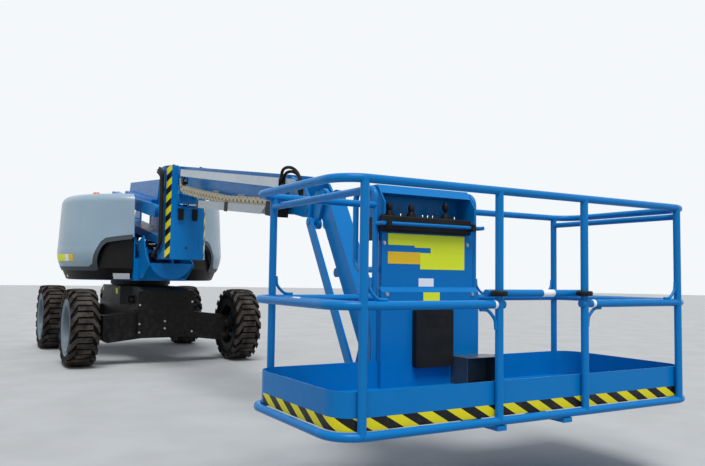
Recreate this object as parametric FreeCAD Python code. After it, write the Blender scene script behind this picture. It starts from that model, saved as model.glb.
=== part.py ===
import FreeCAD, Part
import math
import os

# Articulating boom lift on four wheels, stowed with its jib hanging and its platform in front.
# Millimetres. X points from the chassis to the platform, Y to the machine's left, Z up.
# Inside this file X = 0 is the slew axis; every piece is moved by ORIGIN_SHIFT when it is saved.

# Chassis
WHEELBASE = 2510
TRACK = 2140
TYRE_DIAMETER = 990
TYRE_WIDTH = 350
RIM_DIAMETER = 600
FRAME_HALF_WIDTH = 310
FRAME_FRONT_OVERHANG = 165
FRAME_REAR_OVERHANG = 145
FRAME_BOTTOM_Z = 350
FRAME_TOP_Z = 1010
PLATE = 12
AXLE_HALF_LENGTH = 800
AXLE_HALF_DEPTH = 125
AXLE_TOP_Z = 690
AXLE_BOTTOM_Z = 340
AXLE_DROP = 50
HANGER_Z = 634
KINGPIN_Y = 860
KINGPIN_RADIUS = 28
KNUCKLE_HALF_HEIGHT = 85
HUB_RADIUS = 120
STEER_ARM = 215
LASHING_X = 905
LASHING_Z = 835
LASHING_REACH = 42
LASHING_RADIUS = 25
LASHING_THICKNESS = 25
LUG_COUNT = 24
LUG_ARM = 62
LUG_BAR = 46
LUG_RISE = 26

# Slewing
SLEW_RADIUS = 430
SLEW_TOP_Z = 1095
SLEW_HEIGHT = 60

# Turntable and covers
COVER_RADIUS = 1180
COVER_WALL = 10
COVER_INNER_Y = 378
COVER_TOP_Z = 2285
COVER_CROWN = 120
COVER_CROWN_IN = 150
COVER_LEAN = 35
COVER_TUCK = 50
COVER_WAIST_Z = 1550
TUB_INSET = 64
TUB_TUCK = 130
NOSE_X = 1602
NOSE_Y = 285
NOSE_RADIUS = 300
NOSE_TOP_Z = 1330
TUB_BOTTOM_Z = 1105
SPLIT_FRONT_Z = 1690
SPLIT_SHOULDER_X = 880
SPLIT_SHOULDER_Z = 1590
SPLIT_FOOT_X = 730
SPLIT_LOW_Z = 1260
SPLIT_GAP = 6
DECK_THICKNESS = 35
BULKHEAD_Y = 352
BULKHEAD_THICKNESS = 14
BULKHEAD_TOP_Z = 2225

# Risers: pin places in the side view
LOWER_FOOT = (900, 1500)
LOWER_HEAD = (-950, 1900)
LOWER_LINK_OFFSET = (-180, -200)
UPPER_FOOT = (-900, 2430)
UPPER_HEAD = (1650, 2010)
UPPER_LINK_OFFSET = (0, -400)
EAR_INNER_Y = 155
EAR_OUTER_Y = 185
ARM_INNER_Y = 190
ARM_OUTER_Y = 270
ARM_DEPTH = 160
LINK_DEPTH = 110
UPPER_LINK_HALF_WIDTH = 150
LOWER_LINK_INNER_Y = 95
LOWER_LINK_OUTER_Y = 145
LOWER_LINK_DEPTH = 80
RISER_PIN_RADIUS = 30
RUNNING = 0.1
RISER_BASE = (110, 1262)
RISER_LUG_REACH = 360
RISER_LUG_OFFSET = -50
RISER_BARREL_LENGTH = 470
LID_HINGE_IN = 16
LID_HINGE_DOWN = 24
LID_HINGE_X = (-520, 240)
LID_BARREL_RADIUS = 13
LID_BARREL_LENGTH = 90
LID_PIN_RADIUS = 6

# Mast
MAST_REAR_X = 1900
MAST_FRONT_X = 2250
MAST_SHOULDER_X = 2130
MAST_HALF_WIDTH = 270
MAST_FRONT_HALF_WIDTH = 210
MAST_BOTTOM_Z = 1375
MAST_FLANGE_INNER = 132
MAST_LEDGE_Z = 2005
MAST_STEP_Z = 2035
MAST_RISE = 140
MAST_HOSE_X = 2150
MAST_HOSE_Y = -312
MAST_WALL = 12

# Primary boom, in its own frame along its length
BOOM_PIVOT = (1980, 2400)
BOOM_TILT = 8.5
BOOM_REAR = -150
BOOM_FRONT = 3450
BOOM_HALF_HEIGHT = 170
BOOM_HALF_WIDTH = 125
BOOM_WALL = 8
BOOM_GAP = 10
BOOM_PIN_RADIUS = 40
BOOM_LUG = (200, -250)
TIP_PIN = (3890, -100)
INNER_REAR = 500
INNER_FRONT = 3700
HEEL_X = 290
CHAIN_Y = (-280, -220)
CHAIN_PITCH = 100
CHAIN_HALF = 45
CHAIN_NECK = 29
CHAIN_BEND = (961, 0)
CHAIN_BEND_RADIUS = 95
CHAIN_END_X = 3465
TRAY_Y = (-290, -170)
TRAY_X = (1555, 3423)
TRAY_SLOPE = 0.0385
TRAY_TOP_Z = -182
TRAY_DEPTH = 80
TRAY_SEAT = 22
CARRIER_X = (880, 3640)
CARRIER_Z = (55, 135)
CARRIER_WIDTH = 70
LIFT_BASE = (2000, 1480)
LIFT_BARREL_LENGTH = 520

# Jib
JIB_TOP = (5970, 1800)
JIB_LINK_OFFSET = (-70, -180)
JIB_LENGTH = 1310
JIB_ANGLE = 57.8
JIB_HALF_WIDTH = 75
JIB_DEPTH = 170
JIB_PLATE_INNER_Y = 80
JIB_PLATE_OUTER_Y = 107
TIP_EAR_INNER_Y = 112
TIP_EAR_OUTER_Y = 132
JIB_LINK_INNER_Y = 138
JIB_LINK_OUTER_Y = 160
JIB_PIN_RADIUS = 24
JIB_FORK = 540
JIB_FORK_HALF_WIDTH = 45
JIB_CYLINDER_REACH = 600
JIB_CYLINDER_OFFSET = 130
JIB_CYLINDER_LEVER = 200
JIB_EYE_ANGLE = 262
JIB_BARREL_LENGTH = 350

# Platform
PLATFORM_CENTRE_Y = 73
PLATFORM_DEPTH = 994
POST_SPAN = 2216
RAIL_OVERHANG = 125
RAIL_CORNER = 150
RAIL_RADIUS = 21
RAIL_HEIGHT = 1150
MID_RAIL_HEIGHT = 577
GATE_FROM = 798
GATE_TO = 1412
TOE_HEIGHT = 195
TOE_THICKNESS = 4
ROTATOR_RADIUS = 72
ROTATOR_REACH = 176.93
ROTATOR_DROP = 131.49
ROTATOR_HEIGHT = 200
PLATFORM_REACH = 351
PLATFORM_DROP = 70

MAST_TOP_Z = BOOM_PIVOT[1] + MAST_RISE
FRAME_FRONT_X = WHEELBASE / 2 + FRAME_FRONT_OVERHANG
FRAME_REAR_X = -WHEELBASE / 2 - FRAME_REAR_OVERHANG
ROTATOR_X = JIB_TOP[0] + JIB_LENGTH * math.cos(math.radians(JIB_ANGLE)) + ROTATOR_REACH
ROTATOR_BOTTOM_Z = JIB_TOP[1] - JIB_LENGTH * math.sin(math.radians(JIB_ANGLE)) - ROTATOR_DROP
ROTATOR_TOP_Z = ROTATOR_BOTTOM_Z + ROTATOR_HEIGHT
PLATFORM_REAR_X = ROTATOR_X + PLATFORM_REACH
PLATFORM_FLOOR_Z = ROTATOR_BOTTOM_Z - PLATFORM_DROP
REAR_END_X = -WHEELBASE / 2 - TYRE_DIAMETER / 2
FRONT_END_X = PLATFORM_REAR_X + PLATFORM_DEPTH + RAIL_RADIUS
ORIGIN_SHIFT = -(REAR_END_X + FRONT_END_X) / 2

V = FreeCAD.Vector
UP = V(0, 0, 1)
ALONG = V(1, 0, 0)
ACROSS = V(0, 1, 0)


def box(x0, x1, y0, y1, z0, z1):
    return Part.makeBox(x1 - x0, y1 - y0, z1 - z0, V(x0, y0, z0))


def rod(start, direction, radius, length):
    return Part.makeCylinder(radius, length, V(*start), direction)


def cross_rod(point, radius, y0, y1):
    """A round bar across the machine at a place in the side view."""
    return rod((point[0], y0, point[1]), ACROSS, radius, y1 - y0)


def side_plate(points, y0, y1):
    """An outline in the side view, given a thickness across the machine."""
    wire = Part.makePolygon([V(x, y0, z) for x, z in points] + [V(points[0][0], y0, points[0][1])])
    return Part.Face(wire).extrude(V(0, y1 - y0, 0))


def plan_plate(points, z0, z1):
    wire = Part.makePolygon([V(x, y, z0) for x, y in points] + [V(points[0][0], points[0][1], z0)])
    return Part.Face(wire).extrude(V(0, 0, z1 - z0))


def front_plate(points, x0, x1):
    wire = Part.makePolygon([V(x0, y, z) for y, z in points] + [V(x0, points[0][0], points[0][1])])
    return Part.Face(wire).extrude(V(x1 - x0, 0, 0))


def join(shapes):
    result = shapes[0]
    if len(shapes) > 1:
        result = result.fuse(shapes[1:])
    return result.removeSplitter()


def both_sides(shape):
    return [shape, shape.mirror(V(0, 0, 0), ACROSS)]


def add(point, offset):
    return (point[0] + offset[0], point[1] + offset[1])


def polar(point, angle, length):
    a = math.radians(angle)
    return (point[0] + length * math.cos(a), point[1] + length * math.sin(a))


def angle_between(start, end):
    return math.degrees(math.atan2(end[1] - start[1], end[0] - start[0]))


def distance(start, end):
    return math.hypot(end[0] - start[0], end[1] - start[1])


def turned(shape, point, angle):
    """Turn a piece built level about a pin, nose up for a positive angle."""
    result = shape.copy()
    result.rotate(V(point[0], 0, point[1]), ACROSS, -angle)
    return result


def bar_between(start, end, depth, y0, y1):
    """A flat bar with round ends between two pins."""
    length = distance(start, end)
    body = box(start[0], start[0] + length, y0, y1, start[1] - depth / 2, start[1] + depth / 2)
    ends = [cross_rod(start, depth / 2, y0, y1), cross_rod((start[0] + length, start[1]), depth / 2, y0, y1)]
    return turned(join([body] + ends), start, angle_between(start, end))


def tube_along(points, radius, corner):
    """A round tube along straight runs joined by arcs of one corner radius."""
    pts = [V(*p) for p in points]
    edges = []
    here = pts[0]
    for a, b, c in zip(pts, pts[1:], pts[2:]):
        into = (b - a).normalize()
        out = (c - b).normalize()
        half = into.getAngle(out) / 2
        cut = corner * math.tan(half)
        start = b - into * cut
        end = b + out * cut
        toward = (out - into).normalize()
        middle = b + toward * (corner / math.cos(half) - corner)
        if (start - here).Length > 0.01:
            edges.append(Part.LineSegment(here, start).toShape())
        edges.append(Part.Arc(start, middle, end).toShape())
        here = end
    if (pts[-1] - here).Length > 0.01:
        edges.append(Part.LineSegment(here, pts[-1]).toShape())
    path = Part.Wire(edges)
    first = (path.Edges[0].valueAt(path.Edges[0].LastParameter)
             - path.Edges[0].valueAt(path.Edges[0].FirstParameter))
    start_dir = (pts[1] - pts[0]).normalize()
    if first.Length == 0:
        start_dir = ALONG
    profile = Part.Wire([Part.Circle(pts[0], start_dir, radius).toShape()])
    return path.makePipeShell([profile], True, False)


def save(name, shape):
    moved = shape.copy()
    moved.translate(V(ORIGIN_SHIFT, 0, 0))
    if moved.ShapeType == "Compound" and len(moved.Solids) == 1:
        moved = moved.Solids[0]
    moved.exportStep("parts/%s.step" % name)


# Chassis pieces

def chassis_frame():
    side = [(FRAME_REAR_X, 560), (FRAME_REAR_X, 900), (FRAME_REAR_X + 250, FRAME_TOP_Z),
            (FRAME_FRONT_X - 270, FRAME_TOP_Z), (FRAME_FRONT_X, 965), (FRAME_FRONT_X, FRAME_BOTTOM_Z + 10),
            (FRAME_FRONT_X - 120, FRAME_BOTTOM_Z), (FRAME_REAR_X + 150, 440)]
    body = side_plate(side, -FRAME_HALF_WIDTH, FRAME_HALF_WIDTH)
    waist = plan_plate([(-600, -430), (600, -430), (800, -FRAME_HALF_WIDTH), (800, FRAME_HALF_WIDTH),
                        (600, 430), (-600, 430), (-800, FRAME_HALF_WIDTH), (-800, -FRAME_HALF_WIDTH)],
                       760, FRAME_TOP_Z)
    pedestal = rod((0, 0, FRAME_TOP_Z - 5), UP, SLEW_RADIUS - 20, SLEW_TOP_Z - SLEW_HEIGHT - FRAME_TOP_Z + 5)
    solid = join([body, waist, pedestal])
    hanger_pins = []
    for centre, behind in ((WHEELBASE / 2, STEER_ARM + 60), (-WHEELBASE / 2, AXLE_HALF_DEPTH + 6)):
        tunnel = box(centre - behind, centre + AXLE_HALF_DEPTH + 6, -500, 500, AXLE_BOTTOM_Z - 200, AXLE_TOP_Z + 6)
        solid = solid.cut(tunnel)
        hanger_pins.append(rod((centre - behind - 1, 0, HANGER_Z), ALONG, 40, behind + AXLE_HALF_DEPTH + 8))
    eyes = []
    for end in (1, -1):
        for side in (1, -1):
            root, tip = side * (FRAME_HALF_WIDTH - 5), side * (FRAME_HALF_WIDTH + LASHING_REACH)
            x = min(end * LASHING_X, end * (LASHING_X + LASHING_THICKNESS))
            arm = box(x, x + LASHING_THICKNESS, min(root, tip), max(root, tip), LASHING_Z - 55, LASHING_Z + 55)
            disc = rod((x, tip, LASHING_Z), ALONG, 55, LASHING_THICKNESS)
            hole = rod((x - 5, tip, LASHING_Z), ALONG, LASHING_RADIUS, LASHING_THICKNESS + 10)
            eyes.append(join([arm, disc]).cut(hole))
    return join([solid] + hanger_pins + eyes)


def axle_beam(centre, steered):
    outer = AXLE_HALF_LENGTH
    top = AXLE_TOP_Z - AXLE_DROP
    bottom = AXLE_BOTTOM_Z - AXLE_DROP
    outline = [(-outer, top), (-outer, bottom + 30), (-outer + 60, bottom), (-FRAME_HALF_WIDTH, AXLE_BOTTOM_Z),
               (FRAME_HALF_WIDTH, AXLE_BOTTOM_Z), (outer - 60, bottom), (outer, bottom + 30), (outer, top),
               (FRAME_HALF_WIDTH, AXLE_TOP_Z), (-FRAME_HALF_WIDTH, AXLE_TOP_Z)]
    beam = front_plate(outline, centre - AXLE_HALF_DEPTH, centre + AXLE_HALF_DEPTH)
    beam = beam.cut(rod((centre - 200, 0, HANGER_Z), ALONG, 40 + RUNNING, 400))
    if steered:
        for y0 in (-810, 640):
            beam = beam.cut(box(centre - AXLE_HALF_DEPTH - 5, centre - 20, y0, y0 + 170,
                                TYRE_DIAMETER / 2 + 10, TYRE_DIAMETER / 2 + 85))
    hub_z = TYRE_DIAMETER / 2
    pieces = [beam]
    for side in (-1, 1):
        if steered:
            for low in (hub_z - KNUCKLE_HALF_HEIGHT - 30, hub_z + KNUCKLE_HALF_HEIGHT + 2):
                lug = box(centre - 50, centre + 50, min(side * 790, side * KINGPIN_Y),
                          max(side * 790, side * KINGPIN_Y), low, low + 28)
                pieces.append(lug)
                pieces.append(rod((centre, side * KINGPIN_Y, low), UP, 50, 28))
            pieces.append(rod((centre, side * KINGPIN_Y, hub_z - KNUCKLE_HALF_HEIGHT - 30), UP,
                              KINGPIN_RADIUS, 2 * KNUCKLE_HALF_HEIGHT + 60))
        else:
            start = side * 795
            pieces.append(rod((centre, start, hub_z), ACROSS * side, HUB_RADIUS, 120))
            pieces.append(rod((centre, start, hub_z), ACROSS * side, 60, 335))
    return join(pieces)


def knuckle(side):
    """Steering knuckle with the drive hub, turning on the kingpin."""
    centre = WHEELBASE / 2
    hub_z = TYRE_DIAMETER / 2
    post = rod((centre, side * KINGPIN_Y, hub_z - KNUCKLE_HALF_HEIGHT), UP, 55, 2 * KNUCKLE_HALF_HEIGHT)
    hub = rod((centre, side * (KINGPIN_Y + 10), hub_z), ACROSS * side, 78, 75)
    drum = rod((centre, side * (KINGPIN_Y + 60), hub_z), ACROSS * side, HUB_RADIUS, 50)
    stub = rod((centre, side * (KINGPIN_Y + 60), hub_z), ACROSS * side, 60, 210)
    arm = box(centre - STEER_ARM, centre, side * KINGPIN_Y - 18, side * KINGPIN_Y + 18,
              hub_z + 30, hub_z + 60)
    ball = rod((centre - STEER_ARM, side * KINGPIN_Y, hub_z + 20), UP, 26, 50)
    solid = join([post, hub, drum, stub, arm, ball])
    return solid.cut(rod((centre, side * KINGPIN_Y, hub_z - 200), UP, KINGPIN_RADIUS + RUNNING, 400))


def steer_cylinder():
    centre = WHEELBASE / 2
    barrel = rod((centre - STEER_ARM, -230, TYRE_DIAMETER / 2 + 45), ACROSS, 42, 460)
    bracket = box(centre - STEER_ARM, centre - AXLE_HALF_DEPTH - 0.3, -60, 60,
                  TYRE_DIAMETER / 2 + 10, TYRE_DIAMETER / 2 + 80)
    bore = rod((centre - STEER_ARM, -300, TYRE_DIAMETER / 2 + 45), ACROSS, 20 + RUNNING, 600)
    return join([barrel, bracket]).cut(bore)


def tie_rod():
    """The through rod of the steering cylinder, with an eye beside each steering arm."""
    centre = WHEELBASE / 2
    z = TYRE_DIAMETER / 2 + 45
    reach = KINGPIN_Y - 51
    bar = rod((centre - STEER_ARM, -reach, z), ACROSS, 20, 2 * reach)
    ends = []
    for side in (-1, 1):
        ends.append(rod((centre - STEER_ARM, side * (reach - 10), z - 18), UP, 26, 36))
    return join([bar] + ends)


def rim(x, side):
    """Steel disc wheel: barrel, dished disc and a centre that seats on the hub."""
    hub_z = TYRE_DIAMETER / 2
    r = RIM_DIAMETER / 2
    half = TYRE_WIDTH / 2 - 25
    profile = [(-half, r - 0.3), (half, r - 0.3), (half + 12, r + 12), (half + 12, r - 8), (half, r - 22),
               (60, r - 40), (48, 130), (48, 60 + RUNNING), (20, 60 + RUNNING), (20, 140), (35, r - 50),
               (-half, r - 22)]
    points = [V(0, a, b) for a, b in profile] + [V(0, profile[0][0], profile[0][1])]
    disc = Part.Face(Part.makePolygon(points)).revolve(V(0, 0, 0), ACROSS, 360)
    if side < 0:
        disc = disc.mirror(V(0, 0, 0), ACROSS)
    disc.translate(V(x, side * TRACK / 2, hub_z))
    return disc


def tyre_ring():
    """Casing with interlocking lugs: each runs in from its shoulder at a slant, then straight across."""
    r = TYRE_DIAMETER / 2
    w = TYRE_WIDTH / 2
    bead = RIM_DIAMETER / 2
    carcass = r - LUG_RISE
    profile = [(-w + 25, bead), (-w + 4, bead + 60), (-w + 8, carcass - 40), (-w + 50, carcass),
               (w - 50, carcass), (w - 8, carcass - 40), (w - 4, bead + 60), (w - 25, bead + 12.5), (w - 25, bead)]
    points = [V(0, a, b) for a, b in profile] + [V(0, profile[0][0], profile[0][1])]
    ring = Part.Face(Part.makePolygon(points)).revolve(V(0, 0, 0), ACROSS, 360)
    top = math.sqrt(r * r - 60 * 60)
    outline = [(-w, -60), (-w, LUG_ARM - 60), (-55, 60), (25, 60), (25, 60 - LUG_BAR), (-48, 60 - LUG_BAR)]
    lug = plan_plate([(s, y) for y, s in outline], carcass - 45, top)
    lugs = []
    for i in range(LUG_COUNT):
        for hand, start in ((1, 0), (-1, 0.5)):
            piece = lug.copy() if hand > 0 else lug.mirror(V(0, 0, 0), ACROSS)
            piece.rotate(V(0, 0, 0), ACROSS, (i + start) * 360 / LUG_COUNT)
            lugs.append(piece)
    return join([ring] + lugs)


def tyre(ring, x, side):
    """One wheel's tyre, made from the common ring."""
    moved = ring.copy()
    if side < 0:
        moved = moved.mirror(V(0, 0, 0), ACROSS)
    moved.translate(V(x, side * TRACK / 2, TYRE_DIAMETER / 2))
    return moved


def slew_ring():
    ring = rod((0, 0, SLEW_TOP_Z - SLEW_HEIGHT), UP, SLEW_RADIUS, SLEW_HEIGHT)
    return ring.cut(rod((0, 0, SLEW_TOP_Z - SLEW_HEIGHT), UP, SLEW_RADIUS - 110, SLEW_HEIGHT))


# Turntable pieces

def ear_outline(pins, pad):
    """Straight outline round a column of pins."""
    xs = [p[0] for p in pins]
    zs = [p[1] for p in pins]
    return (min(xs) - pad, max(xs) + pad, min(zs) - pad, max(zs) + pad)


def lid_hinge_pieces():
    """Barrels for the left lid, and pins with brackets for the turntable, about the lid's hinge line."""
    y, z = COVER_INNER_Y + LID_HINGE_IN, COVER_TOP_Z - LID_HINGE_DOWN
    barrels = []
    brackets = []
    for x in LID_HINGE_X:
        barrel = rod((x, y, z), ALONG, LID_BARREL_RADIUS, LID_BARREL_LENGTH)
        web = box(x, x + LID_BARREL_LENGTH, y - 4, y + 4, z, COVER_TOP_Z - COVER_WALL + 2)
        barrels.append(join([barrel, web]).cut(rod((x - 5, y, z), ALONG, LID_PIN_RADIUS + RUNNING, 200)))
        pieces = [rod((x - 8, y, z), ALONG, LID_PIN_RADIUS, LID_BARREL_LENGTH + 16)]
        for start in (x - 8, x + LID_BARREL_LENGTH + 2):
            low = V(start, BULKHEAD_Y + BULKHEAD_THICKNESS / 2, BULKHEAD_TOP_Z - 12)
            slope = V(0, y - low.y, z - low.z)
            neck = Part.makeBox(6, slope.Length, 16, V(start, low.y, low.z - 8))
            neck.rotate(low, ALONG, math.degrees(math.atan2(slope.z, slope.y)))
            pieces += [neck, rod((start, y, z), ALONG, 12, 6)]
        brackets.append(join(pieces))
    return barrels, brackets


def turntable_frame():
    bottom = SLEW_TOP_Z + 0.3
    top = bottom + DECK_THICKNESS
    deck = rod((0, 0, bottom), UP, COVER_RADIUS - TUB_TUCK - 22, DECK_THICKNESS)
    tongue = box(0, 1080, -BULKHEAD_Y - 5, BULKHEAD_Y + 5, bottom, top)
    pieces = [deck, tongue]
    foot2 = add(LOWER_FOOT, LOWER_LINK_OFFSET)
    ear = [(foot2[0] - 120, top - 5), (foot2[0] - 70, foot2[1] + 40), (LOWER_FOOT[0] - 60, LOWER_FOOT[1] + 60),
           (LOWER_FOOT[0] + 60, LOWER_FOOT[1] + 60), (1080, 1330), (1080, top - 5)]
    pieces += both_sides(side_plate(ear, EAR_INNER_Y, EAR_OUTER_Y))
    wall = [(-880, top - 5), (-880, BULKHEAD_TOP_Z - 120), (-760, BULKHEAD_TOP_Z), (700, BULKHEAD_TOP_Z),
            (1020, 1900), (1080, 1420), (1080, top - 5)]
    pieces += both_sides(side_plate(wall, BULKHEAD_Y, BULKHEAD_Y + BULKHEAD_THICKNESS))
    apron = box(1060, 1080, -BULKHEAD_Y - 5, BULKHEAD_Y + 5, top - 5, 1300)
    pieces.append(apron)
    nose = [(1055, top - 3), (1055, 1640), (1284, 1700), (1434, 1431), (NOSE_X, NOSE_TOP_Z),
            (NOSE_X, NOSE_TOP_Z - 40), (1300, top - 3)]
    pieces += both_sides(side_plate(nose, NOSE_Y, NOSE_Y + 15))
    pieces += both_sides(box(1055, 1075, NOSE_Y, BULKHEAD_Y + 5, top - 3, 1400))
    bowl = rod((NOSE_X - 14, 0, NOSE_TOP_Z + 90), ALONG, NOSE_RADIUS, 14)
    pieces.append(bowl.cut(box(NOSE_X - 20, NOSE_X + 20, -400, 400, NOSE_TOP_Z, NOSE_TOP_Z + 600)))
    pieces.append(cross_rod(LOWER_FOOT, RISER_PIN_RADIUS, -ARM_OUTER_Y - 8, ARM_OUTER_Y + 8))
    pieces.append(cross_rod(foot2, RISER_PIN_RADIUS, -EAR_INNER_Y - 5, EAR_INNER_Y + 5))
    for side in (-1, 1):
        y0 = min(side * 52, side * 72)
        pieces.append(side_plate([(RISER_BASE[0] - 60, top - 5), (RISER_BASE[0] - 40, RISER_BASE[1] + 40),
                                  (RISER_BASE[0] + 40, RISER_BASE[1] + 40), (RISER_BASE[0] + 60, top - 5)],
                                 y0, y0 + 20))
    pieces.append(cross_rod(RISER_BASE, 25, -60, 60))
    for bracket in lid_hinge_pieces()[1]:
        pieces += both_sides(bracket)
    return join(pieces)


def split_outline(gap, low):
    """Side outline of everything below the line where cover and tub part."""
    reach = COVER_RADIUS + 50
    return [(-reach, low), (-reach, SPLIT_LOW_Z + gap), (SPLIT_FOOT_X, SPLIT_LOW_Z + gap),
            (SPLIT_SHOULDER_X, SPLIT_SHOULDER_Z + gap), (SPLIT_SHOULDER_X + 90, SPLIT_FRONT_Z - 20 + gap),
            (reach, SPLIT_FRONT_Z + gap), (reach, low)]


def turned_body(steps):
    """Solid of revolution about the slew axis; a step of three values is an arc through its first two."""
    here = V(0, 0, steps[0][-1][1])
    edges = []
    for step in steps:
        there = V(step[-1][0], 0, step[-1][1])
        if len(step) == 2:
            edges.append(Part.Arc(here, V(step[0][0], 0, step[0][1]), there).toShape())
        elif (there - here).Length > 0.01:
            edges.append(Part.LineSegment(here, there).toShape())
        here = there
    last = V(0, 0, here.z)
    edges.append(Part.LineSegment(here, last).toShape())
    edges.append(Part.LineSegment(last, V(0, 0, steps[0][-1][1])).toShape())
    return Part.Face(Part.Wire(edges)).revolve(V(0, 0, 0), UP, 360)


def cover_body(inset):
    """Whole round of the covers: tucked foot, leaning wall, crease and rounded crown."""
    r, top, foot = COVER_RADIUS - inset, COVER_TOP_Z - inset, SPLIT_LOW_Z
    steps = [((r - COVER_TUCK, foot),), ((r - 10, foot + 110), (r, COVER_WAIST_Z)),
             ((r - COVER_LEAN, COVER_TOP_Z - COVER_CROWN),),
             ((r - COVER_LEAN - 36, top - 32), (r - COVER_LEAN - COVER_CROWN_IN, top))]
    return turned_body(steps)


def tub_body(inset, bottom, top):
    r = COVER_RADIUS - inset
    low = r - TUB_TUCK + (bottom - TUB_BOTTOM_Z) * 0.42
    return turned_body([((low, bottom),), ((r - TUB_INSET, SPLIT_LOW_Z),), ((r - TUB_INSET, top),)])


def side_half(shape):
    reach = COVER_RADIUS + 60
    return shape.common(box(-reach, reach, COVER_INNER_Y, reach, 900, COVER_TOP_Z + 20))


def hood_cover():
    shell = side_half(cover_body(0)).cut(cover_body(COVER_WALL))
    below = side_plate(split_outline(SPLIT_GAP, 900), -50, COVER_RADIUS + 50)
    return join([shell.cut(below)] + lid_hinge_pieces()[0])


def hood_tub():
    below = side_plate(split_outline(0, 900), -50, COVER_RADIUS + 50)
    wall = side_half(tub_body(0, TUB_BOTTOM_Z, SPLIT_FRONT_Z + 20)).cut(
        tub_body(COVER_WALL, TUB_BOTTOM_Z - 10, SPLIT_FRONT_Z + 60)).common(below)
    top = SLEW_TOP_Z + DECK_THICKNESS + 0.6
    floor = side_half(tub_body(COVER_WALL - 2, top, top + 400)).common(
        box(-1500, 1500, 0, 1500, top, top + 10))
    return join([wall, floor])


def counterweight():
    top = SLEW_TOP_Z + DECK_THICKNESS + 0.6
    keep = box(-COVER_RADIUS - 10, -COVER_RADIUS + 280, -BULKHEAD_Y + 5, BULKHEAD_Y - 5, top - 5, 1600)
    return tub_body(-TUB_INSET + 8, top, 1560).common(keep)


def engine_block():
    top = SLEW_TOP_Z + DECK_THICKNESS + 11
    out = COVER_RADIUS - 280
    return box(-480, 420, -out, -BULKHEAD_Y - 78, top, top + 620)


def beacon():
    base = rod((-250, -640, COVER_TOP_Z + 0.3), UP, 60, 30)
    dome = rod((-250, -640, COVER_TOP_Z + 25), UP, 52, 95)
    tops = [e for e in dome.Edges if e.BoundBox.ZMin > COVER_TOP_Z + 110]
    return join([base, dome.makeFillet(25, tops)])


# Riser pieces

def lower_riser_lug():
    direction = angle_between(LOWER_FOOT, LOWER_HEAD)
    return polar(polar(LOWER_FOOT, direction, RISER_LUG_REACH), direction + 90, RISER_LUG_OFFSET)


def lower_riser():
    bars = both_sides(bar_between(LOWER_FOOT, LOWER_HEAD, ARM_DEPTH, ARM_INNER_Y, ARM_OUTER_Y))
    direction = angle_between(LOWER_FOOT, LOWER_HEAD)
    ties = []
    for reach in (620, 1450):
        ties.append(cross_rod(polar(LOWER_FOOT, direction, reach), 45, -ARM_INNER_Y - 5, ARM_INNER_Y + 5))
    lug_pin = lower_riser_lug()
    for side in (-1, 1):
        y0 = min(side * 60, side * 80)
        ties.append(cross_rod(lug_pin, 55, y0, y0 + 20))
        tie_at = polar(LOWER_FOOT, direction, 620)
        ties.append(bar_between(tie_at, lug_pin, 60, y0, y0 + 20))
    solid = join(bars + ties)
    for pin in (LOWER_FOOT, LOWER_HEAD):
        solid = solid.cut(cross_rod(pin, RISER_PIN_RADIUS + RUNNING, -400, 400))
    return solid


def lower_link():
    foot = add(LOWER_FOOT, LOWER_LINK_OFFSET)
    head = add(LOWER_HEAD, LOWER_LINK_OFFSET)
    bars = both_sides(bar_between(foot, head, LOWER_LINK_DEPTH, LOWER_LINK_INNER_Y, LOWER_LINK_OUTER_Y))
    direction = angle_between(foot, head)
    ties = [cross_rod(polar(foot, direction, reach), 25, -LOWER_LINK_INNER_Y - 5, LOWER_LINK_INNER_Y + 5)
            for reach in (180, distance(foot, head) - 200)]
    solid = join(bars + ties)
    for pin in (foot, head):
        solid = solid.cut(cross_rod(pin, RISER_PIN_RADIUS + RUNNING, -400, 400))
    return solid


def mid_frame():
    link_head = add(LOWER_HEAD, LOWER_LINK_OFFSET)
    outline = [(link_head[0] - 60, link_head[1] - 50), (link_head[0] + 60, link_head[1] - 50),
               (LOWER_HEAD[0] + 70, LOWER_HEAD[1] - 50), (UPPER_FOOT[0] + 80, UPPER_FOOT[1] - 380),
               (UPPER_FOOT[0] + 80, UPPER_FOOT[1] + 60), (UPPER_FOOT[0] - 60, UPPER_FOOT[1] + 90),
               (link_head[0] - 60, UPPER_FOOT[1] - 300)]
    plates = both_sides(side_plate(outline, EAR_INNER_Y, EAR_OUTER_Y))
    web = box(link_head[0] - 60, link_head[0] - 48, -EAR_INNER_Y - 5, EAR_INNER_Y + 5, link_head[1] + 60,
              UPPER_FOOT[1] - 310)
    pins = [cross_rod(LOWER_HEAD, RISER_PIN_RADIUS, -ARM_OUTER_Y - 8, ARM_OUTER_Y + 8),
            cross_rod(UPPER_FOOT, RISER_PIN_RADIUS, -ARM_OUTER_Y - 8, ARM_OUTER_Y + 8),
            cross_rod(link_head, RISER_PIN_RADIUS, -EAR_INNER_Y - 5, EAR_INNER_Y + 5),
            cross_rod(add(UPPER_FOOT, UPPER_LINK_OFFSET), RISER_PIN_RADIUS, -EAR_INNER_Y - 5, EAR_INNER_Y + 5)]
    return join(plates + [web] + pins)


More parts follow.
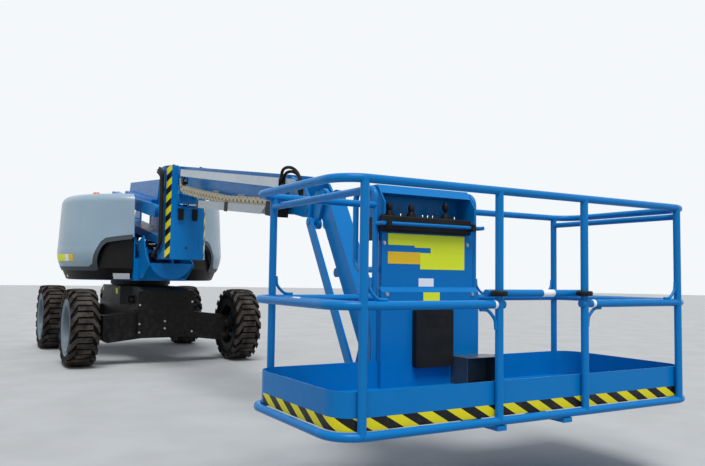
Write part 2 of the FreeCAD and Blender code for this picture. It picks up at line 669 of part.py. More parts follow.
def upper_riser():
    bars = both_sides(bar_between(UPPER_FOOT, UPPER_HEAD, ARM_DEPTH, ARM_INNER_Y, ARM_OUTER_Y))
    direction = angle_between(UPPER_FOOT, UPPER_HEAD)
    ties = [cross_rod(polar(UPPER_FOOT, direction, reach), 45, -ARM_INNER_Y - 5, ARM_INNER_Y + 5)
            for reach in (500, 1300, 2150)]
    crown = side_plate([(-420, 2400), (-330, 2600), (1330, 2470), (1210, 2090)], -120, 120)
    skirt = side_plate([(-420, 2400), (-330, 2470), (1250, 2200), (1210, 2090)], -ARM_INNER_Y - 5, ARM_INNER_Y + 5)
    solid = join(bars + ties + [crown, skirt])
    for pin in (UPPER_FOOT, UPPER_HEAD):
        solid = solid.cut(cross_rod(pin, RISER_PIN_RADIUS + RUNNING, -400, 400))
    return solid


def upper_link():
    foot = add(UPPER_FOOT, UPPER_LINK_OFFSET)
    head = add(UPPER_HEAD, UPPER_LINK_OFFSET)
    solid = bar_between(foot, head, LINK_DEPTH, -UPPER_LINK_HALF_WIDTH, UPPER_LINK_HALF_WIDTH)
    for pin in (foot, head):
        solid = solid.cut(cross_rod(pin, RISER_PIN_RADIUS + RUNNING, -400, 400))
    return solid


def cylinder_pair(base, eye, barrel_radius, rod_radius, base_pin, eye_half_width, barrel_length, closing):
    """Barrel and rod between two points; closing is how far the rod still goes in from rest."""
    length = distance(base, eye)
    turn = angle_between(base, eye)
    bx, bz = base
    barrel = join([cross_rod(base, barrel_radius - 5, -eye_half_width, eye_half_width),
                   rod((bx, 0, bz), ALONG, barrel_radius, barrel_length),
                   rod((bx + barrel_length - 30, 0, bz), ALONG, barrel_radius + 5, 34)])
    barrel = barrel.cut(cross_rod(base, base_pin + RUNNING, -200, 200))
    bore = bx + barrel_radius + 10
    barrel = barrel.cut(rod((bore, 0, bz), ALONG, rod_radius + RUNNING, barrel_length))
    tip = (bx + length, bz)
    foot = barrel_radius + 15 + closing
    stem = join([rod((bx + foot, 0, bz), ALONG, rod_radius, length - foot),
                 cross_rod(tip, base_pin + 14, -eye_half_width, eye_half_width)])
    return turned(barrel, base, turn), turned(stem, base, turn)


# Mast pieces

def mast():
    def outline(inset):
        return [(MAST_REAR_X + inset, -MAST_HALF_WIDTH + inset), (MAST_SHOULDER_X, -MAST_HALF_WIDTH + inset),
                (MAST_FRONT_X - inset, -MAST_FRONT_HALF_WIDTH + inset),
                (MAST_FRONT_X - inset, MAST_FRONT_HALF_WIDTH - inset),
                (MAST_SHOULDER_X, MAST_HALF_WIDTH - inset), (MAST_REAR_X + inset, MAST_HALF_WIDTH - inset)]
    solid = plan_plate(outline(0), MAST_BOTTOM_Z, MAST_TOP_Z)
    solid = solid.cut(plan_plate(outline(MAST_WALL), MAST_BOTTOM_Z + MAST_WALL, MAST_TOP_Z + 10))
    inner = MAST_HALF_WIDTH - MAST_WALL
    solid = solid.cut(box(MAST_SHOULDER_X, MAST_FRONT_X + 20, -MAST_FLANGE_INNER, MAST_FLANGE_INNER,
                          MAST_STEP_Z, MAST_TOP_Z + 10))
    recess = box(MAST_FRONT_X - 4, MAST_FRONT_X + 5, -150, 150, MAST_BOTTOM_Z + 115, MAST_LEDGE_Z - 180)
    solid = solid.cut(recess.makeFillet(18, [e for e in recess.Edges if abs(e.BoundBox.XLength - 9) < 0.01]))
    solid = solid.cut(box(MAST_REAR_X - 10, MAST_REAR_X + 30, -inner, inner, 2080, MAST_TOP_Z + 10))
    head2 = add(UPPER_HEAD, UPPER_LINK_OFFSET)
    ear = [(head2[0] - 60, head2[1] - 70), (MAST_REAR_X + 3, MAST_BOTTOM_Z + 20), (MAST_REAR_X + 3, 2075),
           (UPPER_HEAD[0] + 40, UPPER_HEAD[1] + 65), (UPPER_HEAD[0] - 60, UPPER_HEAD[1] + 65)]
    pieces = [solid] + both_sides(side_plate(ear, EAR_INNER_Y, EAR_OUTER_Y))
    pieces.append(cross_rod(UPPER_HEAD, RISER_PIN_RADIUS, -ARM_OUTER_Y - 8, ARM_OUTER_Y + 8))
    pieces.append(cross_rod(head2, RISER_PIN_RADIUS, -EAR_INNER_Y - 5, EAR_INNER_Y + 5))
    pieces.append(cross_rod(BOOM_PIVOT, BOOM_PIN_RADIUS, -MAST_HALF_WIDTH - 10, MAST_HALF_WIDTH + 10))
    pieces.append(cross_rod(LIFT_BASE, 25, -inner - 3, inner + 3))
    pieces.append(box(MAST_FRONT_X - 5, MAST_FRONT_X + 34, -135, 122, MAST_LEDGE_Z, MAST_LEDGE_Z + 8))
    for y in (-185, 160):
        pieces.append(rod((MAST_FRONT_X - 25, y, MAST_TOP_Z - 60), UP, 14, 70))
        pieces.append(box(MAST_FRONT_X - 40, MAST_FRONT_X - 6, y - 22, y + 22, MAST_TOP_Z - 90, MAST_TOP_Z - 20))
    for z in (MAST_TOP_Z - 302, MAST_BOTTOM_Z + 283):
        pieces.append(box(MAST_HOSE_X - 60, MAST_SHOULDER_X - 4, MAST_HOSE_Y + 22.3, -MAST_HALF_WIDTH + 3, z - 22, z + 22))
    return join(pieces)


def mast_bumpers():
    """Two rubber pads hung under the ledge on the mast's front."""
    pads = []
    for y in (-125, 56):
        pad = box(MAST_FRONT_X + 0.3, MAST_FRONT_X + 30, y, y + 62, MAST_LEDGE_Z - 145, MAST_LEDGE_Z - 0.3)
        low = [e for e in pad.Edges if abs(e.BoundBox.XLength - 29.7) < 0.01 and e.BoundBox.ZMax < MAST_LEDGE_Z - 140]
        pads.append(pad.makeFillet(16, low))
    return Part.makeCompound(pads)


def mast_hoses():
    """Three hoses down the back of the mast's right side, formed to run off toward the risers."""
    hoses = []
    for dx, dy in ((-36, 4), (0, 0), (34, 6)):
        x, y = MAST_HOSE_X + dx, MAST_HOSE_Y + dy
        low = MAST_BOTTOM_Z + 175 + dx * 0.7
        hoses.append(tube_along([(x - 160, y, MAST_TOP_Z - 40 + dx * 0.6), (x, y, MAST_TOP_Z - 110 + dx * 0.6),
                                 (x, y, low), (x - 310, y, low - 110)], 17.5, 70))
    return join(hoses)


# Boom pieces, built level from the pivot and then tilted

def boom_place(shape):
    return turned(shape, BOOM_PIVOT, -BOOM_TILT)


def boom_point(local):
    """Where a point of the boom's own frame lies in the side view at rest."""
    a = math.radians(-BOOM_TILT)
    return (BOOM_PIVOT[0] + local[0] * math.cos(a) - local[1] * math.sin(a),
            BOOM_PIVOT[1] + local[0] * math.sin(a) + local[1] * math.cos(a))


def boom_box(x0, x1, y0, y1, z0, z1):
    return box(BOOM_PIVOT[0] + x0, BOOM_PIVOT[0] + x1, y0, y1, BOOM_PIVOT[1] + z0, BOOM_PIVOT[1] + z1)


INNER_HALF_HEIGHT = BOOM_HALF_HEIGHT - BOOM_WALL - BOOM_GAP
INNER_HALF_WIDTH = BOOM_HALF_WIDTH - BOOM_WALL - BOOM_GAP


def boom_outer():
    h, w = BOOM_HALF_HEIGHT, BOOM_HALF_WIDTH
    tube = boom_box(BOOM_REAR, BOOM_FRONT, -w, w, -h, h)
    tube = tube.cut(boom_box(250, BOOM_FRONT + 10, -w + BOOM_WALL, w - BOOM_WALL, -h + BOOM_WALL, h - BOOM_WALL))
    collar = boom_box(BOOM_FRONT - 60, BOOM_FRONT, -w, w, -h, h).cut(
        boom_box(BOOM_FRONT - 70, BOOM_FRONT + 10, -INNER_HALF_WIDTH - 0.3, INNER_HALF_WIDTH + 0.3,
                 -INNER_HALF_HEIGHT - 0.3, INNER_HALF_HEIGHT + 0.3))
    boss = rod((BOOM_PIVOT[0], -MAST_HALF_WIDTH + MAST_WALL + 2, BOOM_PIVOT[1]), ACROSS, 75,
               2 * (MAST_HALF_WIDTH - MAST_WALL - 2))
    lug_x, lug_z = BOOM_LUG
    pieces = [tube, collar, boss]
    for side in (-1, 1):
        y0 = min(side * 66, side * 86)
        pieces.append(side_plate([(BOOM_PIVOT[0] + lug_x - 130, BOOM_PIVOT[1] - h + 3),
                                  (BOOM_PIVOT[0] + lug_x - 45, BOOM_PIVOT[1] + lug_z - 45),
                                  (BOOM_PIVOT[0] + lug_x + 45, BOOM_PIVOT[1] + lug_z - 45),
                                  (BOOM_PIVOT[0] + lug_x + 200, BOOM_PIVOT[1] - h + 3)], y0, y0 + 20))
    pieces.append(boom_box(HEEL_X, HEEL_X + 12, -w, w, lug_z - 40, -h + 3))
    solid = join(pieces).cut(cross_rod(BOOM_PIVOT, BOOM_PIN_RADIUS + RUNNING, -400, 400))
    return boom_place(solid)


def boom_extension():
    h, w = INNER_HALF_HEIGHT, INNER_HALF_WIDTH
    tube = boom_box(INNER_REAR, INNER_FRONT, -w, w, -h, h)
    tube = tube.cut(boom_box(INNER_REAR - 5, INNER_FRONT - 20, -w + 8, w - 8, -h + 8, h - 8))
    bx, bz = BOOM_PIVOT
    ear = [(bx + INNER_FRONT - 150, bz - h), (bx + INNER_FRONT - 150, bz + h), (bx + INNER_FRONT + 60, bz + h - 30),
           (bx + TIP_PIN[0] + 60, bz + TIP_PIN[1] + 60), (bx + TIP_PIN[0] + 60, bz + TIP_PIN[1] - 60),
           (bx + TIP_PIN[0] - 60, bz + TIP_PIN[1] - 65)]
    pieces = [tube] + both_sides(side_plate(ear, w - 2, TIP_EAR_OUTER_Y)) + [
        cross_rod((bx + TIP_PIN[0], bz + TIP_PIN[1]), JIB_PIN_RADIUS, -TIP_EAR_OUTER_Y - 8, TIP_EAR_OUTER_Y + 8)]
    solid = join(pieces)
    mouth = box(bx + INNER_FRONT + 5, bx + TIP_PIN[0] + 200, -TIP_EAR_INNER_Y, TIP_EAR_INNER_Y, bz - 400, bz + 400)
    mouth = mouth.cut(cross_rod((bx + TIP_PIN[0], bz + TIP_PIN[1]), JIB_PIN_RADIUS, -300, 300))
    return boom_place(solid.cut(mouth))


def hose_carrier():
    """White rectangular tube that carries the hoses beside the boom and moves with the extension."""
    outer, inner = TRAY_Y[0], TRAY_Y[0] + CARRIER_WIDTH
    rear, front = CARRIER_X
    low, high = CARRIER_Z
    tube = boom_box(rear, front, outer, inner, low, high)
    tube = tube.cut(boom_box(rear - 10, front + 10, outer + 5, inner - 5, low + 5, high - 5))
    arm = boom_box(front - 70, front, inner - 6, -TIP_EAR_OUTER_Y - 0.3, low, high)
    return boom_place(join([tube, arm]))


def tray_top(x):
    return TRAY_TOP_Z + (x - TRAY_X[0]) * TRAY_SLOPE


def tray_side(x0, x1, above, below, front_lean):
    """Side outline between two stations, a height above and a depth below the tray's top edge."""
    bx, bz = BOOM_PIVOT
    return [(bx + x0, bz + tray_top(x0) + above), (bx + x1, bz + tray_top(x1) + above),
            (bx + x1 - front_lean, bz + tray_top(x1) - below), (bx + x0, bz + tray_top(x0) - below)]


def hose_tray():
    """Fixed channel under the hose chain, on brackets from the outer boom."""
    rear, front = TRAY_X
    y0, y1 = TRAY_Y
    tray = side_plate(tray_side(rear, front, 0, TRAY_DEPTH, 110), y0, y1)
    tray = tray.cut(side_plate(tray_side(rear - 20, front + 90, 20, TRAY_SEAT, 0), y0 + 4, y1 - 4))
    tray = tray.cut(side_plate(tray_side(rear - 20, front + 90, -TRAY_SEAT - 5, TRAY_DEPTH + 20, 0), y0 + 4, y1 - 4))
    pieces = [tray]
    for x in (rear + 145, rear + 900, front - 320):
        pieces.append(side_plate([(BOOM_PIVOT[0] + x, BOOM_PIVOT[1] + tray_top(x) - 60),
                                  (BOOM_PIVOT[0] + x, BOOM_PIVOT[1] - 60), (BOOM_PIVOT[0] + x + 60, BOOM_PIVOT[1] - 60),
                                  (BOOM_PIVOT[0] + x + 60, BOOM_PIVOT[1] + tray_top(x) - 60)],
                                 y1 - 4, -BOOM_HALF_WIDTH - 0.3))
    return boom_place(join(pieces))


def chain_path():
    """Pins of the chain in the boom's frame: down round the bend, then forward to the chain's fixed end."""
    cx, cz = CHAIN_BEND
    turn = math.degrees(2 * math.asin(CHAIN_PITCH / 2 / CHAIN_BEND_RADIUS))
    pins = [polar(CHAIN_BEND, 148 + i * turn, CHAIN_BEND_RADIUS) for i in range(3)]
    rest = (2400, tray_top(2400) + CHAIN_HALF - TRAY_SEAT + 0.3)
    end = (CHAIN_END_X, tray_top(CHAIN_END_X) + CHAIN_HALF - TRAY_SEAT + 0.3)
    for goal in ((1520, cz - 112), rest, end):
        while distance(pins[-1], goal) > CHAIN_PITCH / 2 and pins[-1][0] < goal[0]:
            pins.append(polar(pins[-1], angle_between(pins[-1], goal), CHAIN_PITCH))
    return pins


def hose_chain():
    """Chain of waisted links with a window in each: a bend below the white tube and a long lower run."""
    pins = chain_path()
    bx, bz = BOOM_PIVOT
    ahead, behind, windows = [], [], []
    for i, (a, b) in enumerate(zip(pins, pins[1:])):
        turn = angle_between(a, b)
        bend = i < 2
        reach = 22 if bend else 14
        inside = 30 if bend else CHAIN_HALF
        neck = 24 if bend else CHAIN_NECK

        def at(along, out):
            point = polar(polar(a, turn, along), turn + 90, out)
            return V(bx + point[0], CHAIN_Y[0], bz + point[1])
        far = CHAIN_PITCH - reach
        ahead += [at(reach, neck), at(reach, inside), at(far, inside), at(far, neck)]
        behind += [at(reach, -neck), at(reach, -CHAIN_HALF), at(far, -CHAIN_HALF), at(far, -neck)]
        corners = [at(34, -14), at(66, -14), at(66, 14), at(34, 14)]
        windows.append(Part.makePolygon(corners + corners[:1]))
    loop = ahead + behind[::-1]
    face = Part.Face([Part.makePolygon(loop + loop[:1])] + windows)
    return boom_place(face.extrude(V(0, CHAIN_Y[1] - CHAIN_Y[0], 0)))


def tip_hoses():
    """Two hoses that leave the white tube, rise over the tip and turn down into the ear's side."""
    bx, bz = BOOM_PIVOT
    hoses = []
    for y, z, crest, rise, drop, out in ((-270, 112, 3705, 232, -5, -215), (-240, 78, 3685, 198, -35, -186)):
        down = crest + 175
        path = [(CARRIER_X[1] + 0.3, y, z), (crest, y, z), (crest, y, rise), (down, out, rise), (down, out, drop),
                (down, -TIP_EAR_OUTER_Y - 0.3, drop)]
        hoses.append(tube_along([(bx + a, b, bz + c) for a, b, c in path], 13, 40))
    return boom_place(Part.makeCompound(hoses))


# Jib pieces

def jib_pins():
    foot = polar(JIB_TOP, -JIB_ANGLE, JIB_LENGTH)
    return JIB_TOP, foot, add(JIB_TOP, JIB_LINK_OFFSET), add(foot, JIB_LINK_OFFSET)


def jib_base():
    top, foot, link_top, link_foot = jib_pins()
    tip = boom_point(TIP_PIN)
    outline = [(tip[0] - 55, tip[1] + 40), (tip[0] - 40, tip[1] - 50), (link_top[0] - 45, link_top[1] - 45),
               (link_top[0] + 45, link_top[1] - 40), (top[0] + 60, top[1] - 30), (top[0] + 50, top[1] + 55),
               (top[0] - 40, top[1] + 65)]
    plates = both_sides(side_plate(outline, JIB_PLATE_INNER_Y, JIB_PLATE_OUTER_Y))
    web = box(tip[0] - 52, tip[0] - 40, -JIB_PLATE_INNER_Y - 3, JIB_PLATE_INNER_Y + 3, tip[1] - 20, tip[1] + 35)
    pins = [cross_rod(top, JIB_PIN_RADIUS, -JIB_PLATE_INNER_Y - 3, JIB_PLATE_INNER_Y + 3)]
    for side in (-1, 1):
        y0 = min(side * 105, side * (JIB_LINK_OUTER_Y + 6))
        pins.append(cross_rod(link_top, JIB_PIN_RADIUS, y0, y0 + JIB_LINK_OUTER_Y + 6 - 105))
    eye = jib_cylinder_eye()
    for side in (-1, 1):
        y0 = min(side * JIB_PLATE_INNER_Y, side * JIB_PLATE_OUTER_Y)
        pins.append(cross_rod(eye, 38, y0, y0 + JIB_PLATE_OUTER_Y - JIB_PLATE_INNER_Y))
    solid = join(plates + [web] + pins)
    return solid.cut(cross_rod(tip, JIB_PIN_RADIUS + RUNNING, -300, 300))


def jib_arm():
    top, foot, link_top, link_foot = jib_pins()
    level_foot = (top[0] + JIB_LENGTH, top[1])
    solid = bar_between(top, level_foot, JIB_DEPTH, -JIB_HALF_WIDTH, JIB_HALF_WIDTH)
    fork = box(top[0] - JIB_DEPTH, top[0] + JIB_FORK, -JIB_FORK_HALF_WIDTH, JIB_FORK_HALF_WIDTH,
               top[1] - JIB_DEPTH, top[1] + JIB_DEPTH / 2 - 12)
    mouth = box(top[0] - JIB_DEPTH, top[0] + JIB_DEPTH / 2 + 15, -JIB_FORK_HALF_WIDTH, JIB_FORK_HALF_WIDTH,
                top[1] - JIB_DEPTH, top[1] + JIB_DEPTH)
    solid = solid.cut(fork).cut(mouth)
    solid = turned(solid, top, -JIB_ANGLE)
    lug = jib_cylinder_base()
    ears = []
    along = polar(top, -JIB_ANGLE, JIB_CYLINDER_REACH + 60)
    for side in (-1, 1):
        y0 = min(side * 45, side * 61)
        ears.append(bar_between(along, lug, 70, y0, y0 + 16))
    solid = join([solid] + ears + [cross_rod(lug, 18, -50, 50)])
    for pin in (top, foot):
        solid = solid.cut(cross_rod(pin, JIB_PIN_RADIUS + RUNNING, -300, 300))
    return solid


def jib_link():
    top, foot, link_top, link_foot = jib_pins()
    bars = both_sides(bar_between(link_top, link_foot, 78, JIB_LINK_INNER_Y, JIB_LINK_OUTER_Y))
    solid = Part.makeCompound(bars)
    return solid.cut(Part.makeCompound([cross_rod(pin, JIB_PIN_RADIUS + RUNNING, -300, 300)
                                        for pin in (link_top, link_foot)]))


def jib_cylinder_base():
    along = polar(JIB_TOP, -JIB_ANGLE, JIB_CYLINDER_REACH)
    return polar(along, 270 - JIB_ANGLE, JIB_CYLINDER_OFFSET)


def jib_cylinder_eye():
    return polar(JIB_TOP, JIB_EYE_ANGLE, JIB_CYLINDER_LEVER)


def platform_support():
    top, foot, link_top, link_foot = jib_pins()
    outline = [(link_foot[0] - 45, link_foot[1] - 40), (ROTATOR_X - 80, ROTATOR_BOTTOM_Z - 30),
               (ROTATOR_X - 80, ROTATOR_TOP_Z + 30), (foot[0] + 20, foot[1] + 60), (foot[0] - 50, foot[1] + 40),
               (link_foot[0] - 50, link_foot[1] + 40)]
    plates = both_sides(side_plate(outline, JIB_PLATE_INNER_Y, JIB_PLATE_OUTER_Y))
    web = box(ROTATOR_X - 84, ROTATOR_X - 76, -JIB_PLATE_INNER_Y - 3, JIB_PLATE_INNER_Y + 3,
              ROTATOR_BOTTOM_Z - 30, ROTATOR_TOP_Z + 30)
    pieces = plates + [web, cross_rod(foot, JIB_PIN_RADIUS, -JIB_PLATE_INNER_Y - 3, JIB_PLATE_INNER_Y + 3)]
    for low in (ROTATOR_BOTTOM_Z - 27, ROTATOR_TOP_Z + 2):
        pieces.append(rod((ROTATOR_X, 0, low), UP, ROTATOR_RADIUS, 25))
        pieces.append(box(ROTATOR_X - 85, ROTATOR_X, -ROTATOR_RADIUS, ROTATOR_RADIUS, low, low + 25))
    pieces.append(rod((ROTATOR_X, 0, ROTATOR_BOTTOM_Z - 20), UP, 30, ROTATOR_TOP_Z - ROTATOR_BOTTOM_Z + 40))
    for side in (-1, 1):
        y0 = min(side * 105, side * (JIB_LINK_OUTER_Y + 6))
        pieces.append(cross_rod(link_foot, JIB_PIN_RADIUS, y0, y0 + JIB_LINK_OUTER_Y + 6 - 105))
    return join(pieces)


# Platform pieces

HALF_POSTS = POST_SPAN / 2
HALF_RING = HALF_POSTS + RAIL_OVERHANG
SIDE_CUT = HALF_POSTS - 48


def platform_mount():
    """Rotator housing and the frame that carries the platform's floor and back."""
    body = rod((ROTATOR_X, 0, ROTATOR_BOTTOM_Z), UP, ROTATOR_RADIUS, ROTATOR_TOP_Z - ROTATOR_BOTTOM_Z)
    body = body.cut(rod((ROTATOR_X, 0, ROTATOR_BOTTOM_Z - 5), UP, 30 + RUNNING, 400))
    back = PLATFORM_REAR_X - RAIL_RADIUS - 6
    arm = box(ROTATOR_X + 50, back, -55, 55, ROTATOR_BOTTOM_Z + 15, ROTATOR_TOP_Z - 15)
    plate = box(back - 12, back, -300, 300, PLATFORM_FLOOR_Z + 30, ROTATOR_TOP_Z + 40)
    forks = []
    for y in (-260, 200):
        forks.append(box(back - 12, PLATFORM_REAR_X + PLATFORM_DEPTH + 15, y, y + 60,
                         PLATFORM_FLOOR_Z - RAIL_RADIUS - 25, PLATFORM_FLOOR_Z - RAIL_RADIUS - 0.3))
        forks.append(box(back - 12, back, y, y + 60, PLATFORM_FLOOR_Z - RAIL_RADIUS - 25, PLATFORM_FLOOR_Z + 40))
    return join([body, arm, plate] + forks)


def ring_path(z, rear_gap):
    """Rounded rectangle of a rail at one height; the rear side is open between two places if asked."""
    x0, x1 = PLATFORM_REAR_X, PLATFORM_REAR_X + PLATFORM_DEPTH
    y0, y1 = PLATFORM_CENTRE_Y - HALF_RING, PLATFORM_CENTRE_Y + HALF_RING
    left, right = rear_gap
    return [(x0, left, z), (x0, y0, z), (x1, y0, z), (x1, y1, z), (x0, y1, z), (x0, right, z)]


CONSOLE_FROM = PLATFORM_CENTRE_Y - HALF_POSTS + 715
CONSOLE_TO = PLATFORM_CENTRE_Y - HALF_POSTS + 1435
HOOP_REACH = 240
HOOP_TOP = 1262
HOOP_LOW = 750


def platform_rails():
    x0, x1 = PLATFORM_REAR_X, PLATFORM_REAR_X + PLATFORM_DEPTH
    left, right = PLATFORM_CENTRE_Y - HALF_POSTS, PLATFORM_CENTRE_Y + HALF_POSTS
    floor = PLATFORM_FLOOR_Z
    hoops = (CONSOLE_FROM - 30, CONSOLE_TO + 30)
    pieces = []
    for height in (RAIL_HEIGHT, MID_RAIL_HEIGHT):
        pieces.append(tube_along(ring_path(floor + height, hoops), RAIL_RADIUS, RAIL_CORNER))
    middle = PLATFORM_CENTRE_Y
    pieces.append(tube_along(ring_path(floor, (middle, middle)), RAIL_RADIUS, RAIL_CORNER))
    posts = [(x0, left), (x0, right), (x1, left), (x1, right), (x1, left + GATE_FROM), (x1, left + GATE_TO)]
    for x, y in posts:
        pieces.append(rod((x, y, floor), UP, RAIL_RADIUS, RAIL_HEIGHT))
    for y in (left, right):
        for height in (RAIL_HEIGHT - 55, MID_RAIL_HEIGHT):
            pieces.append(rod((x0, y, floor + height), ALONG, RAIL_RADIUS - 3, PLATFORM_DEPTH))
    for y in hoops:
        hoop = [(x0, y, floor + 10), (x0, y, floor + HOOP_TOP), (x0 - HOOP_REACH, y, floor + HOOP_TOP),
                (x0 - HOOP_REACH, y, floor + HOOP_LOW), (x0, y, floor + HOOP_LOW)]
        pieces.append(tube_along(hoop, RAIL_RADIUS - 2, 70))
    bar_z = floor + 1035
    pieces.append(rod((x0 + 85, hoops[0] - 4, bar_z), ACROSS, 11, hoops[1] - hoops[0] + 8))
    for y in hoops:
        pieces.append(rod((x0, y, bar_z), ALONG, 13, 98))
    solid = join(pieces)
    gate = box(x1 - 60, x1 + 60, left + GATE_FROM + RAIL_RADIUS + 8, left + GATE_TO - RAIL_RADIUS - 8,
               floor + MID_RAIL_HEIGHT - 50, floor + MID_RAIL_HEIGHT + 50)
    solid = solid.cut(gate)
    for y in (middle - SIDE_CUT, middle + SIDE_CUT):
        solid = solid.cut(box(x0 - 400, x1 + 100, y - 0.2, y + 0.2, floor - 100, floor + 1500))
    solid = solid.cut(box(x0 + 400, x0 + 400.4, middle - SIDE_CUT, middle + SIDE_CUT, floor - 100, floor + 1500))
    return solid


def entry_bar():
    """Lift-up bar of the gate with a ring round each of its posts."""
    x1 = PLATFORM_REAR_X + PLATFORM_DEPTH
    left = PLATFORM_CENTRE_Y - HALF_POSTS
    z = PLATFORM_FLOOR_Z + MID_RAIL_HEIGHT + 55
    y0, y1 = left + GATE_FROM, left + GATE_TO
    bar = rod((x1 - 55, y0 - 40, z), ACROSS, 19, y1 - y0 + 80)
    pieces = [bar]
    for y in (y0, y1):
        ring = rod((x1, y, z - 8), UP, RAIL_RADIUS + 18, 16)
        neck = box(x1 - 55, x1 - 20, y - 12, y + 12, z - 8, z + 8)
        pieces += [ring, neck]
    solid = join(pieces)
    for y in (y0, y1):
        solid = solid.cut(rod((x1, y, z - 60), UP, RAIL_RADIUS + RUNNING, 120))
    return solid


def toe_outline(inset):
    x0, x1 = PLATFORM_REAR_X + inset, PLATFORM_REAR_X + PLATFORM_DEPTH - inset
    y0, y1 = PLATFORM_CENTRE_Y - HALF_RING + inset, PLATFORM_CENTRE_Y + HALF_RING - inset
    return x0, x1, y0, y1


def rounded_slab(inset, z0, z1):
    x0, x1, y0, y1 = toe_outline(inset)
    solid = box(x0, x1, y0, y1, z0, z1)
    corners = [e for e in solid.Edges if abs(e.BoundBox.ZLength - (z1 - z0)) < 0.01]
    return solid.makeFillet(RAIL_CORNER - inset, corners)


def platform_floor():
    inset = RAIL_RADIUS + 0.3
    top = PLATFORM_FLOOR_Z + 20
    floor = rounded_slab(inset, top, top + 12)
    wall = rounded_slab(inset, top, PLATFORM_FLOOR_Z + TOE_HEIGHT)
    wall = wall.cut(rounded_slab(inset + TOE_THICKNESS, top - 5, PLATFORM_FLOOR_Z + TOE_HEIGHT + 5))
    solid = join([floor, wall])
    left = PLATFORM_CENTRE_Y - HALF_POSTS
    x0, x1 = PLATFORM_REAR_X, PLATFORM_REAR_X + PLATFORM_DEPTH
    for x, y in ((x0, left), (x0, left + POST_SPAN), (x1, left), (x1, left + POST_SPAN),
                 (x1, left + GATE_FROM), (x1, left + GATE_TO), (x0, CONSOLE_FROM - 30), (x0, CONSOLE_TO + 30)):
        solid = solid.cut(rod((x, y, top - 5), UP, RAIL_RADIUS + 0.3, 300))
    return solid


def console_face():
    """Where the console's upper panel faces the standing room."""
    return PLATFORM_REAR_X + RAIL_RADIUS + 8


def console():
    """Control column at the back of the platform: wide lower panel, thin upper panel and an open-fronted hood."""
    x = console_face()
    y0, y1 = CONSOLE_FROM, CONSOLE_TO
    floor = PLATFORM_FLOOR_Z
    lower = side_plate([(x, floor + 32.3), (x + 25, floor + 32.3), (x + 25, floor + 615), (x, floor + 645)],
                       y0 - 15, y1 + 29)
    upper = box(x - 40, x + 0.5, y0, y1, floor + TOE_HEIGHT + 6, floor + 990)
    hood = side_plate([(x - 173, floor + 985), (x + 25, floor + 985), (x + 25, floor + 1169),
                       (x - 60, floor + 1285), (x - 173, floor + 1285)], y0, y1)
    inside = box(x - 165, x + 60, y0 + 8, y1 - 8, floor + 993, floor + 1230)
    solid = join([lower, upper, hood.cut(inside)])
    return solid.cut(box(x - 5, x + 30, y0 - 1, y1 + 1, floor + 980, floor + 1092))


def control_tray():
    """Black tray in the hood's mouth with a deep front lip and three joysticks."""
    x = console_face()
    y0, y1 = CONSOLE_FROM, CONSOLE_TO
    floor = PLATFORM_FLOOR_Z
    tray = box(x - 164.7, x - 5.3, y0 + 8.3, y1 - 8.3, floor + 1054, floor + 1086)
    lip = side_plate([(x - 4.7, floor + 986), (x + 28, floor + 986), (x + 35, floor + 1000), (x + 35, floor + 1080),
                      (x + 28, floor + 1086), (x - 4.7, floor + 1086)], y0 - 16, y1 - 50)
    bridge = box(x - 6, x - 4, y0 + 8.3, y1 - 50, floor + 1054, floor + 1086)
    pieces = [tray, lip, bridge]
    for along, top in ((82, 1172), (250, 1168), (525, 1196)):
        pieces.append(rod((x - 45, y0 + along, floor + 1084), UP, 22, 17))
        pieces.append(rod((x - 45, y0 + along, floor + 1100), UP, 8, top - 1118))
        pieces.append(rod((x - 45, y0 + along, floor + top - 26), UP, 15, 26))
    return join(pieces)


def literature_box():
    x = console_face() + 25.3
    y = CONSOLE_FROM + 216
    slab = box(x, x + 45, y, y + 290, PLATFORM_FLOOR_Z + 146, PLATFORM_FLOOR_Z + 508)
    return slab.makeFillet(20, [e for e in slab.Edges if abs(e.BoundBox.XLength - 45) < 0.01])


def footswitch_box():
    x = console_face() + 25.3
    y = CONSOLE_FROM + 520
    floor = PLATFORM_FLOOR_Z + 32.3
    shell = box(x, x + 165, y, y + 300, floor, floor + 174)
    return shell.cut(box(x + 4, x + 175, y + 4, y + 296, floor + 4, floor + 170))


